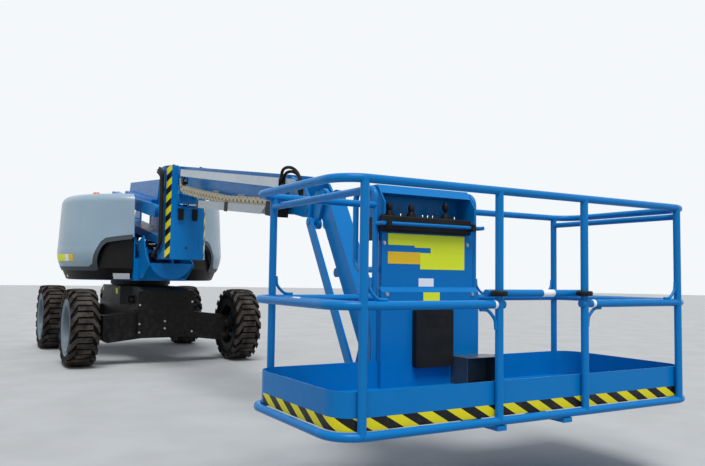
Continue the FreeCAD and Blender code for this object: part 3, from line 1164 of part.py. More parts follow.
def write_all():
    os.makedirs("parts", exist_ok=True)
    save("chassis_frame", chassis_frame())
    save("front_axle", axle_beam(WHEELBASE / 2, True))
    save("rear_axle", axle_beam(-WHEELBASE / 2, False))
    save("slew_ring", slew_ring())
    save("steer_cylinder", steer_cylinder())
    save("tie_rod", tie_rod())
    ring = tyre_ring()
    for side, word in ((1, "left"), (-1, "right")):
        save("knuckle_%s" % word, knuckle(side))
        for x, end in ((WHEELBASE / 2, "front"), (-WHEELBASE / 2, "rear")):
            save("rim_%s_%s" % (end, word), rim(x, side))
            save("tyre_%s_%s" % (end, word), tyre(ring, x, side))
    save("turntable_frame", turntable_frame())
    cover = hood_cover()
    tub = hood_tub()
    save("cover_left", cover)
    save("cover_right", cover.mirror(V(0, 0, 0), ACROSS))
    save("tub_left", tub)
    save("tub_right", tub.mirror(V(0, 0, 0), ACROSS))
    save("counterweight", counterweight())
    save("engine_block", engine_block())
    save("beacon", beacon())
    save("lower_riser", lower_riser())
    save("lower_link", lower_link())
    save("mid_frame", mid_frame())
    save("upper_riser", upper_riser())
    save("upper_link", upper_link())
    barrel, stem = cylinder_pair(RISER_BASE, lower_riser_lug(), 50, 30, 25, 48, RISER_BARREL_LENGTH, 5)
    save("riser_cylinder", barrel)
    save("riser_rod", stem)
    save("mast", mast())
    save("mast_bumpers", mast_bumpers())
    save("mast_hoses", mast_hoses())
    barrel, stem = cylinder_pair(LIFT_BASE, boom_point(BOOM_LUG), 50, 28, 25, 60, LIFT_BARREL_LENGTH, 35)
    save("lift_cylinder", barrel)
    save("lift_rod", stem)
    save("boom_outer", boom_outer())
    save("boom_extension", boom_extension())
    save("hose_carrier", hose_carrier())
    save("hose_tray", hose_tray())
    save("hose_chain", hose_chain())
    save("tip_hoses", tip_hoses())
    save("jib_base", jib_base())
    save("jib_arm", jib_arm())
    save("jib_link", jib_link())
    barrel, stem = cylinder_pair(jib_cylinder_base(), jib_cylinder_eye(), 34, 20, 18, 38, JIB_BARREL_LENGTH, 20)
    save("jib_cylinder", barrel)
    save("jib_rod", stem)
    save("platform_support", platform_support())
    save("platform_mount", platform_mount())
    save("platform_rails", platform_rails())
    save("platform_floor", platform_floor())
    save("entry_bar", entry_bar())
    save("console", console())
    save("control_tray", control_tray())
    save("literature_box", literature_box())
    save("footswitch_box", footswitch_box())


write_all()
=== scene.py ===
import math

import bmesh
import bpy
from mathutils import Euler, Matrix, Vector


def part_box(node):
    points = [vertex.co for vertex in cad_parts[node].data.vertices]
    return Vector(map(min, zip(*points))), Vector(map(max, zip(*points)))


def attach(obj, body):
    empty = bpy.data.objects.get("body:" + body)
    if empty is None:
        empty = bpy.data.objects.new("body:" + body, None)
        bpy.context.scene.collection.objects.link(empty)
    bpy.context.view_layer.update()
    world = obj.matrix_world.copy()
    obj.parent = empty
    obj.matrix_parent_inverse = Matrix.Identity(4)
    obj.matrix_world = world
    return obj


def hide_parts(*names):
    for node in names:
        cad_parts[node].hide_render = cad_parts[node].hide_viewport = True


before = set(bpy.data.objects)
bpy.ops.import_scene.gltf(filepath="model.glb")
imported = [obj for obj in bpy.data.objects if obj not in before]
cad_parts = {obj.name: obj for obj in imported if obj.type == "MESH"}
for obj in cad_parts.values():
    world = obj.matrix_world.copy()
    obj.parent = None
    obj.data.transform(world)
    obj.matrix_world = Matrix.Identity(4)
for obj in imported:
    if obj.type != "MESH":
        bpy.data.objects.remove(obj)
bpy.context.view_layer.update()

# Everything is in metres: +X from the chassis to the platform, +Y to the machine's left, +Z up.
slewX = (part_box("slew_ring")[0].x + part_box("slew_ring")[1].x) / 2


def hexColour(text):
    # sRGB hex to linear
    parts = [int(text[i:i + 2], 16) / 255 for i in (0, 2, 4)]
    return tuple(c / 12.92 if c <= 0.04045 else ((c + 0.055) / 1.055) ** 2.4 for c in parts) + (1.0,)


def addNode(tree, kind, inputs=None, **settings):
    node = tree.nodes.new(kind)
    for name, value in settings.items():
        setattr(node, name, value)
    for key, value in (inputs or {}).items():
        if isinstance(value, bpy.types.NodeSocket):
            tree.links.new(value, node.inputs[key])
        else:
            node.inputs[key].default_value = value
    return node


def newMaterial(name):
    material = bpy.data.materials.new(name)
    material.use_nodes = True
    tree = material.node_tree
    tree.nodes.clear()
    shader = addNode(tree, "ShaderNodeBsdfPrincipled")
    addNode(tree, "ShaderNodeOutputMaterial", {"Surface": shader.outputs[0]})
    place = addNode(tree, "ShaderNodeTexCoord").outputs["Object"]
    return material, tree, shader, place


def mottle(tree, place, size, detail=3.0, low=0.35, high=0.65):
    # soft patches about `size` metres across, from 0 to 1
    noise = addNode(tree, "ShaderNodeTexNoise", {"Vector": place, "Scale": 1 / size, "Detail": detail})
    ramp = addNode(tree, "ShaderNodeMapRange", {"Value": noise.outputs[0], "From Min": low, "From Max": high})
    return ramp.outputs[0]


def blendColour(tree, factor, first, second):
    mix = addNode(tree, "ShaderNodeMix", {0: factor, 6: first, 7: second}, data_type="RGBA")
    return mix.outputs[2]


def scaled(tree, value, factor):
    return addNode(tree, "ShaderNodeMath", {0: value, 1: factor}, operation="MULTIPLY").outputs[0]


def sprayedEnamel(name, colour, shade, rough=0.3, dust=0.15, gloss=0.3, coat=0.0):
    # two-pack enamel sprayed on steel: even colour, soft gloss, a little orange peel and road dust
    material, tree, shader, place = newMaterial(name)
    patches = mottle(tree, place, 0.7)
    fine = mottle(tree, place, 0.06, 5.0, 0.45, 0.7)
    base = blendColour(tree, patches, hexColour(colour), hexColour(shade))
    height = addNode(tree, "ShaderNodeSeparateXYZ", {0: place}).outputs[2]
    low = addNode(tree, "ShaderNodeMapRange", {"Value": height, "From Min": 1.2, "From Max": 0.2,
                                               "To Min": 0.25, "To Max": 1.0}).outputs[0]
    base = blendColour(tree, scaled(tree, scaled(tree, fine, low), dust), base, hexColour("8d867c"))
    tree.links.new(base, shader.inputs["Base Color"])
    roughness = addNode(tree, "ShaderNodeMapRange", {"Value": fine, "To Min": rough, "To Max": rough + 0.14})
    tree.links.new(roughness.outputs[0], shader.inputs["Roughness"])
    # orange peel of about 8 mm, coarser than real so that it shows
    peel = addNode(tree, "ShaderNodeTexNoise", {"Vector": place, "Scale": 125.0, "Detail": 1.0})
    bump = addNode(tree, "ShaderNodeBump", {"Strength": 0.06, "Distance": 0.001, "Height": peel.outputs[0]})
    tree.links.new(bump.outputs[0], shader.inputs["Normal"])
    shader.inputs["Specular IOR Level"].default_value = gloss
    shader.inputs["Coat Weight"].default_value = coat
    shader.inputs["Coat Roughness"].default_value = 0.12
    shader.inputs["IOR"].default_value = 1.5
    return material


def mouldedPlastic(name, colour, rough=0.55, grain=0.0015, strength=0.25, dust=0.1):
    # injection-moulded plastic: one colour with a fine stippled grain
    material, tree, shader, place = newMaterial(name)
    patches = mottle(tree, place, 0.15)
    base = blendColour(tree, scaled(tree, patches, dust), hexColour(colour), hexColour("8a8378"))
    tree.links.new(base, shader.inputs["Base Color"])
    shader.inputs["Roughness"].default_value = rough
    shader.inputs["Specular IOR Level"].default_value = 0.15
    stipple = addNode(tree, "ShaderNodeTexNoise", {"Vector": place, "Scale": 1 / grain, "Detail": 2.0}).outputs[0]
    bump = addNode(tree, "ShaderNodeBump", {"Strength": strength, "Distance": 0.0006, "Height": stipple})
    tree.links.new(bump.outputs[0], shader.inputs["Normal"])
    return material


def tyreRubber(name):
    # natural rubber, dull black, with pale road dust rubbed into the faces that meet the ground
    material, tree, shader, place = newMaterial(name)
    smear = mottle(tree, place, 0.12, 6.0, 0.3, 0.7)
    grit = mottle(tree, place, 0.012, 4.0, 0.4, 0.65)
    wear = addNode(tree, "ShaderNodeAttribute", attribute_name="tread").outputs["Fac"]
    base = blendColour(tree, scaled(tree, scaled(tree, wear, smear), 0.8), hexColour("100e0e"), hexColour("5d5650"))
    base = blendColour(tree, scaled(tree, grit, 0.08), base, hexColour("4a443f"))
    tree.links.new(base, shader.inputs["Base Color"])
    shader.inputs["Roughness"].default_value = 0.82
    shader.inputs["Specular IOR Level"].default_value = 0.12
    bump = addNode(tree, "ShaderNodeBump", {"Strength": 0.35, "Distance": 0.002, "Height": grit})
    tree.links.new(bump.outputs[0], shader.inputs["Normal"])
    return material


def castSteel(name, colour, rough=0.35, metal=1.0):
    # machined or plated steel, bright, with faint brushed unevenness
    material, tree, shader, place = newMaterial(name)
    patches = mottle(tree, place, 0.03, 5.0)
    base = blendColour(tree, scaled(tree, patches, 0.35), hexColour(colour), hexColour("5c5a57"))
    tree.links.new(base, shader.inputs["Base Color"])
    shader.inputs["Metallic"].default_value = metal
    roughness = addNode(tree, "ShaderNodeMapRange", {"Value": patches, "To Min": rough, "To Max": rough + 0.2})
    tree.links.new(roughness.outputs[0], shader.inputs["Roughness"])
    return material


def hazardTape(name):
    # printed adhesive tape in yellow and black bars; each strip carries its bars as "run"
    material, tree, shader, place = newMaterial(name)
    run = addNode(tree, "ShaderNodeAttribute", attribute_name="run").outputs["Fac"]
    phase = addNode(tree, "ShaderNodeMath", {0: run}, operation="FRACT").outputs[0]
    bars = addNode(tree, "ShaderNodeMath", {0: phase, 1: 0.5}, operation="GREATER_THAN").outputs[0]
    worn = mottle(tree, place, 0.05, 5.0, 0.5, 0.75)
    colour = blendColour(tree, bars, hexColour("121212"), hexColour("e6d81c"))
    colour = blendColour(tree, scaled(tree, worn, 0.12), colour, hexColour("7d786d"))
    tree.links.new(colour, shader.inputs["Base Color"])
    shader.inputs["Roughness"].default_value = 0.42
    shader.inputs["Specular IOR Level"].default_value = 0.25
    return material


def tintedLens(name, colour):
    # moulded acrylic lamp lens, tinted and glossy, with light moulded ribs
    material, tree, shader, place = newMaterial(name)
    ribs = addNode(tree, "ShaderNodeTexWave", {"Vector": place, "Scale": 30.0, "Distortion": 0.0},
                   bands_direction="Z")
    base = blendColour(tree, scaled(tree, ribs.outputs["Fac"], 0.4), hexColour(colour), hexColour("a03a06"))
    tree.links.new(base, shader.inputs["Base Color"])
    shader.inputs["Roughness"].default_value = 0.18
    shader.inputs["Emission Color"].default_value = hexColour(colour)
    shader.inputs["Emission Strength"].default_value = 0.12
    return material


# name, colour, its patches' shade, roughness, road dust, gloss, clear coat
blueEnamel = sprayedEnamel("blue enamel on steel", "0077bf", "0071b6", 0.28, 0.015, 0.14, 0.05)
blackEnamel = sprayedEnamel("black chassis enamel", "121112", "191716", 0.42, 0.06, 0.12)
coverPaint = sprayedEnamel("silver-grey moulded cover", "93a9b8", "8aa1b0", 0.3, 0.04, 0.45, 0.22)
trimPaint = sprayedEnamel("dark grey cover trim", "4b5359", "434a50", 0.45, 0.05, 0.2)
tubPaint = sprayedEnamel("black moulded tub", "161414", "1c1a1a", 0.38, 0.05, 0.15)
wheelPaint = sprayedEnamel("grey wheel enamel", "6d7c86", "64727f", 0.4, 0.25, 0.2)
whitePaint = sprayedEnamel("white powder coat", "d3d9de", "c4ccd3", 0.4, 0.2, 0.3)
trayPaint = sprayedEnamel("pale grey tray", "b4bbc1", "a7aeb5", 0.4, 0.2, 0.25)
rubber = tyreRubber("dusty tyre rubber")
hoseRubber = mouldedPlastic("hydraulic hose rubber", "0c0c0d", 0.5, 0.002, 0.15, 0.03)
blackPlastic = mouldedPlastic("black moulded plastic", "161719", 0.5, 0.0018, 0.3, 0.03)
chainPlastic = mouldedPlastic("beige link nylon", "bdb49c", 0.6, 0.003, 0.3, 0.25)
brightSteel = castSteel("zinc plated steel", "b7bbbe", 0.32)
chromedRod = castSteel("hard chromed rod", "e4e5e6", 0.08)
darkSteel = castSteel("blackened steel", "232221", 0.5, 0.5)
bootBox = sprayedEnamel("grey enamel on sheet steel", "3b4a55", "35424c", 0.35, 0.1, 0.5)
amberLens = tintedLens("amber lens", "f0701a")
barTape = hazardTape("yellow and black bar tape")
plateYellow = sprayedEnamel("blank yellow plate", "f0f932", "e8f22e", 0.45, 0.03, 0.3)
plateOrange = sprayedEnamel("blank orange-yellow plate", "f6c829", "edc025", 0.45, 0.03, 0.3)
plateWhite = sprayedEnamel("blank white plate", "f8fafd", "f0f3f7", 0.4, 0.03, 0.3)

nodeFinish = {
    "chassis_frame": blackEnamel, "front_axle": blackEnamel, "rear_axle": blackEnamel,
    "slew_ring": darkSteel, "steer_cylinder": blackEnamel, "tie_rod": chromedRod,
    "knuckle_left": blackEnamel, "knuckle_right": blackEnamel, "counterweight": blackEnamel,
    "engine_block": darkSteel, "tub_left": tubPaint, "tub_right": tubPaint,
    "cover_left": coverPaint, "cover_right": coverPaint, "beacon": amberLens,
    "riser_cylinder": blackEnamel, "riser_rod": chromedRod, "lift_cylinder": blackEnamel,
    "lift_rod": chromedRod, "jib_cylinder": blackEnamel, "jib_rod": chromedRod,
    "mast_bumpers": hoseRubber, "mast_hoses": hoseRubber, "tip_hoses": hoseRubber,
    "hose_carrier": whitePaint, "hose_tray": trayPaint, "hose_chain": chainPlastic,
    "control_tray": blackPlastic, "literature_box": blackPlastic, "footswitch_box": bootBox,
    "platform_mount": blueEnamel,
}
for name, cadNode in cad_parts.items():
    finish = nodeFinish.get(name, blueEnamel)
    if name.startswith("rim_"):
        finish = wheelPaint
    if name.startswith("tyre_"):
        finish = rubber
    cadNode.data.materials.clear()
    cadNode.data.materials.append(finish)
print("materials done")


def addPiece(name, mesh, material, body, smooth=False):
    piece = bpy.data.objects.new(name, mesh)
    bpy.context.scene.collection.objects.link(piece)
    if material is not None:
        mesh.materials.clear()
        mesh.materials.append(material)
    if smooth:
        for face in mesh.polygons:
            face.use_smooth = True
    if body:
        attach(piece, body)
    return piece


def meshOf(name, points, faces, **values):
    # plain mesh; each extra value is one number a point, kept under its own name
    mesh = bpy.data.meshes.new(name)
    mesh.from_pydata([tuple(p) for p in points], [], faces)
    for word, numbers in values.items():
        mesh.attributes.new(word, "FLOAT", "POINT").data.foreach_set("value", numbers)
    mesh.update()
    return mesh


def meshFrom(form, name):
    mesh = bpy.data.meshes.new(name)
    form.to_mesh(mesh)
    form.free()
    return mesh


def turnedOut(mesh, bevel=0.0):
    # the mesh with every face turned outward, its edges broken if asked
    form = bmesh.new()
    form.from_mesh(mesh)
    bmesh.ops.recalc_face_normals(form, faces=form.faces)
    if bevel:
        bmesh.ops.bevel(form, geom=form.edges[:], offset=bevel, segments=1, affect="EDGES", clamp_overlap=True)
    form.to_mesh(mesh)
    form.free()
    return mesh


def evaluated(piece):
    return bpy.data.meshes.new_from_object(piece.evaluated_get(bpy.context.evaluated_depsgraph_get()))


def blocks(name, boxes, material, body, bevel=0.002, turn=None):
    # several edge-rounded blocks as one piece; each box is (low corner, high corner)
    form = bmesh.new()
    for low, high in boxes:
        made = bmesh.ops.create_cube(form, size=1.0)["verts"]
        middle = (Vector(low) + Vector(high)) / 2
        size = Vector(high) - Vector(low)
        for vert in made:
            vert.co = Vector(c * s for c, s in zip(vert.co, size)) + middle
    bmesh.ops.bevel(form, geom=form.edges[:], offset=bevel, segments=2, affect="EDGES", clamp_overlap=True)
    if turn is not None:
        form.transform(turn)
    return addPiece(name, meshFrom(form, name), material, body)


def rounds(name, bars, material, body, sides=20, bevel=0.0015):
    # round bars as one piece; each is (start, end, radius)
    form = bmesh.new()
    for start, end, radius in bars:
        start, end = Vector(start), Vector(end)
        turn = (end - start).to_track_quat("Z", "Y").to_matrix().to_4x4()
        turn.translation = (start + end) / 2
        bmesh.ops.create_cone(form, cap_ends=True, segments=sides, radius1=radius, radius2=radius,
                              depth=(end - start).length, matrix=turn)
    rims = [e for e in form.edges if any(len(f.verts) > 4 for f in e.link_faces)]
    bmesh.ops.bevel(form, geom=rims, offset=bevel, segments=1, affect="EDGES", clamp_overlap=True)
    for face in form.faces:
        face.smooth = len(face.verts) == 4
    return addPiece(name, meshFrom(form, name), material, body)


def pipe(name, routes, radius, material, body, sides=4):
    # bent pipes or hoses on smooth routes, as one piece
    curve = bpy.data.curves.new(name, "CURVE")
    curve.dimensions = "3D"
    curve.bevel_depth = radius
    curve.bevel_resolution = sides
    curve.use_fill_caps = True
    curve.resolution_u = 10
    for route in routes:
        spline = curve.splines.new("NURBS")
        spline.points.add(len(route) - 1)
        for point, place in zip(spline.points, route):
            point.co = (*place, 1.0)
        spline.order_u = 3
        spline.use_endpoint_u = True
    holder = bpy.data.objects.new(name, curve)
    bpy.context.scene.collection.objects.link(holder)
    mesh = evaluated(holder)
    bpy.data.objects.remove(holder)
    return addPiece(name, mesh, material, body, smooth=True)


def repeatTree(name):
    # puts one item on every point of a mesh, turned by the point's own 'turn', all at the one 'Item Scale'
    tree = bpy.data.node_groups.new(name, "GeometryNodeTree")
    face = tree.interface
    face.new_socket("Geometry", in_out="INPUT", socket_type="NodeSocketGeometry")
    face.new_socket("Item", in_out="INPUT", socket_type="NodeSocketObject")
    face.new_socket("Item Scale", in_out="INPUT", socket_type="NodeSocketFloat")
    face.new_socket("Finish", in_out="INPUT", socket_type="NodeSocketMaterial")
    face.new_socket("Geometry", in_out="OUTPUT", socket_type="NodeSocketGeometry")
    source = addNode(tree, "NodeGroupInput")
    item = addNode(tree, "GeometryNodeObjectInfo", {"Object": source.outputs["Item"]})
    turn = addNode(tree, "GeometryNodeInputNamedAttribute", {"Name": "turn"}, data_type="FLOAT_VECTOR")
    euler = addNode(tree, "FunctionNodeEulerToRotation", {0: turn.outputs[0]})
    spread = addNode(tree, "GeometryNodeInstanceOnPoints", {
        "Points": source.outputs["Geometry"], "Instance": item.outputs["Geometry"],
        "Rotation": euler.outputs[0], "Scale": source.outputs["Item Scale"]})
    solid = addNode(tree, "GeometryNodeRealizeInstances", {"Geometry": spread.outputs[0]})
    painted = addNode(tree, "GeometryNodeSetMaterial", {"Geometry": solid.outputs[0],
                                                        "Material": source.outputs["Finish"]})
    addNode(tree, "NodeGroupOutput", {"Geometry": painted.outputs[0]})
    return tree


def repeated(name, item, places, material, body, size=1.0):
    # the item's copies at (point, turn in radians) places, as one plain mesh
    mesh = meshOf(name, [p for p, _ in places], [])
    turns = mesh.attributes.new("turn", "FLOAT_VECTOR", "POINT")
    for index, (_, turn) in enumerate(places):
        turns.data[index].vector = turn
    piece = bpy.data.objects.new(name, mesh)
    bpy.context.scene.collection.objects.link(piece)
    maker = piece.modifiers.new("repeat", "NODES")
    maker.node_group = itemRepeat
    values = {"Item": item, "Item Scale": size, "Finish": material}
    for socket in itemRepeat.interface.items_tree:
        if socket.in_out == "INPUT" and socket.name in values:
            maker[socket.identifier] = values[socket.name]
    plain = evaluated(piece)
    piece.modifiers.clear()
    piece.data = plain
    if body:
        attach(piece, body)
    return piece


itemRepeat = repeatTree("item on each point")


def stacked(name, tiers):
    # short cones one on another along +Z, as an item that only lends its shape to copies;
    # each tier is (sides, foot radius, top radius, depth, middle height)
    form = bmesh.new()
    for sides, foot, top, depth, middle in tiers:
        bmesh.ops.create_cone(form, cap_ends=True, segments=sides, radius1=foot, radius2=top, depth=depth,
                              matrix=Matrix.Translation((0, 0, middle)))
    return bpy.data.objects.new(name, meshFrom(form, name))


def boltHead(radius, height):
    # hexagon head on a washer
    return stacked("bolt head", [(14, radius * 1.35, radius * 1.3, height * 0.3, height * 0.15),
                                 (6, radius, radius * 0.94, height * 0.7, height * 0.65)])


def turnedRing(name, profile, middle, sign, material, body, steps=72):
    # closed profile of (across, radius) turned about a wheel's own axis
    points, faces = [], []
    n = len(profile)
    for i in range(steps):
        a = 2 * math.pi * i / steps
        points += [middle + Vector((r * math.cos(a), sign * w, r * math.sin(a))) for w, r in profile]
    for i in range(steps):
        k = (i + 1) % steps
        faces += [(i * n + j, k * n + j, k * n + (j + 1) % n, i * n + (j + 1) % n) for j in range(n)]
    return addPiece(name, turnedOut(meshOf(name, points, faces)), material, body)


def turnedKnobs(name, spots, profile, material, body, steps=24):
    # closed profile of (radius, height) turned about a standing axis at each spot
    points, faces = [], []
    n = len(profile)
    for spot in spots:
        first = len(points)
        for i in range(steps):
            a = 2 * math.pi * i / steps
            points += [Vector(spot) + Vector((r * math.cos(a), r * math.sin(a), z)) for r, z in profile]
        for i in range(steps):
            k = (i + 1) % steps
            faces += [(first + i * n + j, first + k * n + j, first + k * n + j + 1, first + i * n + j + 1)
                      for j in range(n - 1)]
        faces.append(tuple(first + i * n for i in range(steps)))
        faces.append(tuple(first + i * n + n - 1 for i in range(steps)))
    mesh = turnedOut(meshOf(name, points, faces))
    for face in mesh.polygons:
        face.use_smooth = len(face.vertices) == 4
    return addPiece(name, mesh, material, body)


def skinStrip(name, lowLine, highLine, outward, depth, material, body, slotName, **values):
    # thin band between two lines of points, its back `depth` under its front
    points, faces = [], []
    for low, high in zip(lowLine, highLine):
        points += [low, high, high - outward(high) * depth, low - outward(low) * depth]
    last = len(lowLine) - 1
    for i in range(last):
        for c in range(4):
            d = (c + 1) % 4
            faces.append((4 * i + c, 4 * i + 4 + c, 4 * i + 4 + d, 4 * i + d))
    faces += [(0, 1, 2, 3), (4 * last + 3, 4 * last + 2, 4 * last + 1, 4 * last)]
    return addPiece(name, turnedOut(meshOf(name, points, faces, **values)), material, body)


def inSlew(x, y, z):
    # a place measured from the slew axis, moved into the frame
    return Vector((x + slewX, y, z))


# Boom directions, read from the tilt of the parts
boom = {"pivot": inSlew(1.98, 0, 2.40), "tilt": math.radians(8.5)}
boomTurn = Matrix.Translation(boom["pivot"]) @ Matrix.Rotation(boom["tilt"], 4, "Y")


def alongBoom(x, y, z):
    # a place in the boom's own level frame, measured from its pivot
    return boomTurn @ Vector((x, y, z))


tyre = {"radius": 0.495, "carcass": 0.467, "halfWidth": 0.168, "bead": 0.352, "lugs": 19, "bar": 0.058,
        "tip": 0.088, "kneeHigh": 0.095, "kneeLow": 0.084, "shoulderHigh": -0.042, "shoulderLow": -0.130,
        "edge": 0.0025}


def crownDrop(w):
    return 0.012 * (abs(w) / tyre["halfWidth"]) ** 3


def tyreCarcass():
    # rounded casing without its lugs, about the Y axis through the origin
    half, bead = tyre["halfWidth"], tyre["bead"]
    profile = [(-half + 0.022, bead - 0.052), (-half + 0.020, bead - 0.002), (-half + 0.010, bead + 0.008),
               (-half + 0.003, bead + 0.030), (-half, bead + 0.055), (-half + 0.003, bead + 0.085),
               (-half + 0.018, tyre["carcass"] - 0.012), (-half + 0.045, tyre["carcass"] - 0.003),
               (0, tyre["carcass"])]
    profile = profile + [(-w, r) for w, r in reversed(profile[:-1])]
    steps, n = 96, len(profile)
    points, faces = [], []
    for i in range(steps):
        a = 2 * math.pi * i / steps
        points += [(r * math.cos(a), w, r * math.sin(a)) for w, r in profile]
    for i in range(steps):
        for j in range(n - 1):
            k = (i + 1) % steps
            faces.append((i * n + j, k * n + j, k * n + j + 1, i * n + j + 1))
    return meshOf("tyre casing", points, faces)


def lugPair():
    # one left and one right lug: a slanted arm up the shoulder, then a flat bar past the middle
    half, bar = tyre["halfWidth"], tyre["bar"]
    points, faces, worn = [], [], []
    high, low = tyre["shoulderHigh"], tyre["shoulderLow"]
    root = tyre["carcass"] - 0.014
    # each station: across and along of its low edge, the same of its high edge, height if below the tread
    stations = [(-half, low - 0.012, -half, high - 0.012, 0.430), (-half, low, -half, high, 0.478),
                (-half + 0.010, low + 0.014, -half + 0.010, high + 0.012, None),
                (-0.130, low / 2, -0.135, (high + bar) / 2, None),
                (-tyre["kneeLow"], 0, -tyre["kneeHigh"], bar, None), (0, 0, 0, bar, None),
                (tyre["tip"], 0, tyre["tip"], bar, None)]
    pitch = 2 * math.pi * tyre["radius"] / tyre["lugs"]
    for side in (1, -1):
        shift = 0 if side == 1 else pitch / 2
        first = len(points)
        for w0, s0, w1, s1, height in stations:
            out = 0.004 if height else 0.0
            for w, run, wide, above in ((w0, s0, 0, True), (w1, s1, 0, True), (w1, s1, 0.004, False),
                                        (w0, s0, -0.004, False)):
                top = height or tyre["radius"] - crownDrop(w)
                radius = top if above else (top - 0.030 if height else root)
                a = (run + wide + shift) / tyre["radius"]
                points.append((radius * math.cos(a), side * (w - out * above), radius * math.sin(a)))
                worn.append(1.0 if above else 0.0)
        for k in range(len(stations) - 1):
            for c in range(4):
                d = (c + 1) % 4
                near, far = first + 4 * k, first + 4 * k + 4
                faces.append((near + c, near + d, far + d, far + c))
        faces.append(tuple(first + c for c in range(4)))
        faces.append(tuple(first + 4 * (len(stations) - 1) + c for c in reversed(range(4))))
    return bpy.data.objects.new("lug pair", turnedOut(meshOf("lug pair", points, faces, tread=worn), tyre["edge"]))


def makeTyres():
    ring = [((0, 0, 0), (0, 2 * math.pi * i / tyre["lugs"], 0)) for i in range(tyre["lugs"])]
    lugs = repeated("tyre lugs", lugPair(), ring, rubber, None)
    form = bmesh.new()
    form.from_mesh(lugs.data)
    form.from_mesh(tyreCarcass())
    bmesh.ops.recalc_face_normals(form, faces=form.faces)
    whole = meshFrom(form, "tyre")
    bpy.data.objects.remove(lugs)
    for end in ("front", "rear"):
        for side in ("left", "right"):
            low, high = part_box(f"tyre_{end}_{side}")
            mesh = whole.copy()
            mesh.transform(Matrix.Translation((low + high) / 2))
            piece = addPiece(f"tyre_tread_{end}_{side}", mesh, rubber, f"wheel_{end}_{side}")
            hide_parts(f"tyre_{end}_{side}")


makeTyres()
print("tyres done")

# hub tiers are (inner end, outer end, radius), counted out from the wheel's face
wheel = {"bolts": 10, "boltCircle": 0.098, "boltRadius": 0.013, "boltHeight": 0.018, "faceY": 0.060,
         "hub": [(-0.004, 0.045, 0.062), (0.040, 0.058, 0.03)],
         "band": [(0.140, 0.296), (0.153, 0.300), (0.156, 0.345), (0.163, 0.352), (0.164, 0.362),
                  (0.158, 0.362), (0.150, 0.352), (0.140, 0.350)],
         "back": [(0.140, 0.350), (0.150, 0.352), (0.158, 0.362), (0.164, 0.362), (0.163, 0.352),
                  (0.154, 0.335), (0.152, 0.276), (0.040, 0.250), (0.040, 0.246), (0.152, 0.270),
                  (0.152, 0.272), (0.140, 0.296)]}


def makeWheelCentres():
    nut = boltHead(wheel["boltRadius"], wheel["boltHeight"])
    for end in ("front", "rear"):
        for side, sign in (("left", 1), ("right", -1)):
            word, body = f"{end}_{side}", f"wheel_{end}_{side}"
            low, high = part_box(f"tyre_{word}")
            middle = (low + high) / 2
            out = Vector((0, sign, 0))
            face = middle + out * wheel["faceY"]
            places = []
            for i in range(wheel["bolts"]):
                a = 2 * math.pi * i / wheel["bolts"]
                spot = face + Vector((math.cos(a), 0, math.sin(a))) * wheel["boltCircle"]
                places.append((spot, (-math.pi / 2 * sign, 0, 0)))
            repeated(f"wheel_nuts_{word}", nut, places, brightSteel, body)
            tiers = [(face + out * near, face + out * far, radius) for near, far, radius in wheel["hub"]]
            rounds(f"hub_cap_{word}", tiers, blackEnamel, body, 28, 0.004)
            turnedRing(f"wheel_band_{word}", wheel["band"], middle, sign, wheelPaint, body)
            turnedRing(f"wheel_back_{word}", wheel["back"], middle, -sign, blackEnamel, body)


makeWheelCentres()
print("wheels done")

# Mast: tapes on its two front chamfers and one bolt low on its front
mast = {"shoulderX": 2.130, "frontX": 2.250, "shoulderY": 0.270, "frontY": 0.210, "chamfer": (0.060, 0.120),
        "low": 1.380, "high": 2.535, "skin": 0.0015, "inset": (0.004, 0.002), "start": 0.28,
        "pitch": 0.171, "lean": 1.6, "bolt": (2.244, -0.006, 1.518)}


def makeMastTapes():
    insetX, insetY = mast["inset"]
    low, high = Vector((0, 0, mast["low"])), Vector((0, 0, mast["high"]))
    for side, word in ((-1, "right"), (1, "left")):
        a = inSlew(mast["shoulderX"] + insetX, side * (mast["shoulderY"] - insetY), 0)
        b = inSlew(mast["frontX"] - insetX, side * (mast["frontY"] + insetY), 0)
        out = Vector((mast["chamfer"][0], side * mast["chamfer"][1], 0)).normalized() * mast["skin"]
        a = a + (b - a) * mast["start"]
        if side > 0:
            a, b = b, a
        points = [a + out + low, b + out + low, b + out + high, a + out + high,
                  a - out + low, b - out + low, b - out + high, a - out + high]
        faces = [(0, 1, 2, 3), (7, 6, 5, 4), (0, 4, 5, 1), (1, 5, 6, 2), (2, 6, 7, 3), (3, 7, 4, 0)]
        run = [(p.z - mast["lean"] * p.y) / mast["pitch"] for p in points]
        mesh = turnedOut(meshOf("mast tape", points, faces, run=run))
        addPiece(f"mast_tape_{word}", mesh, barTape, "mast")


makeMastTapes()
repeated("mast_front_bolt", boltHead(0.012, 0.010), [(inSlew(*mast["bolt"]), (0, math.pi / 2, 0))], darkSteel,
         "mast")
print("mast done")

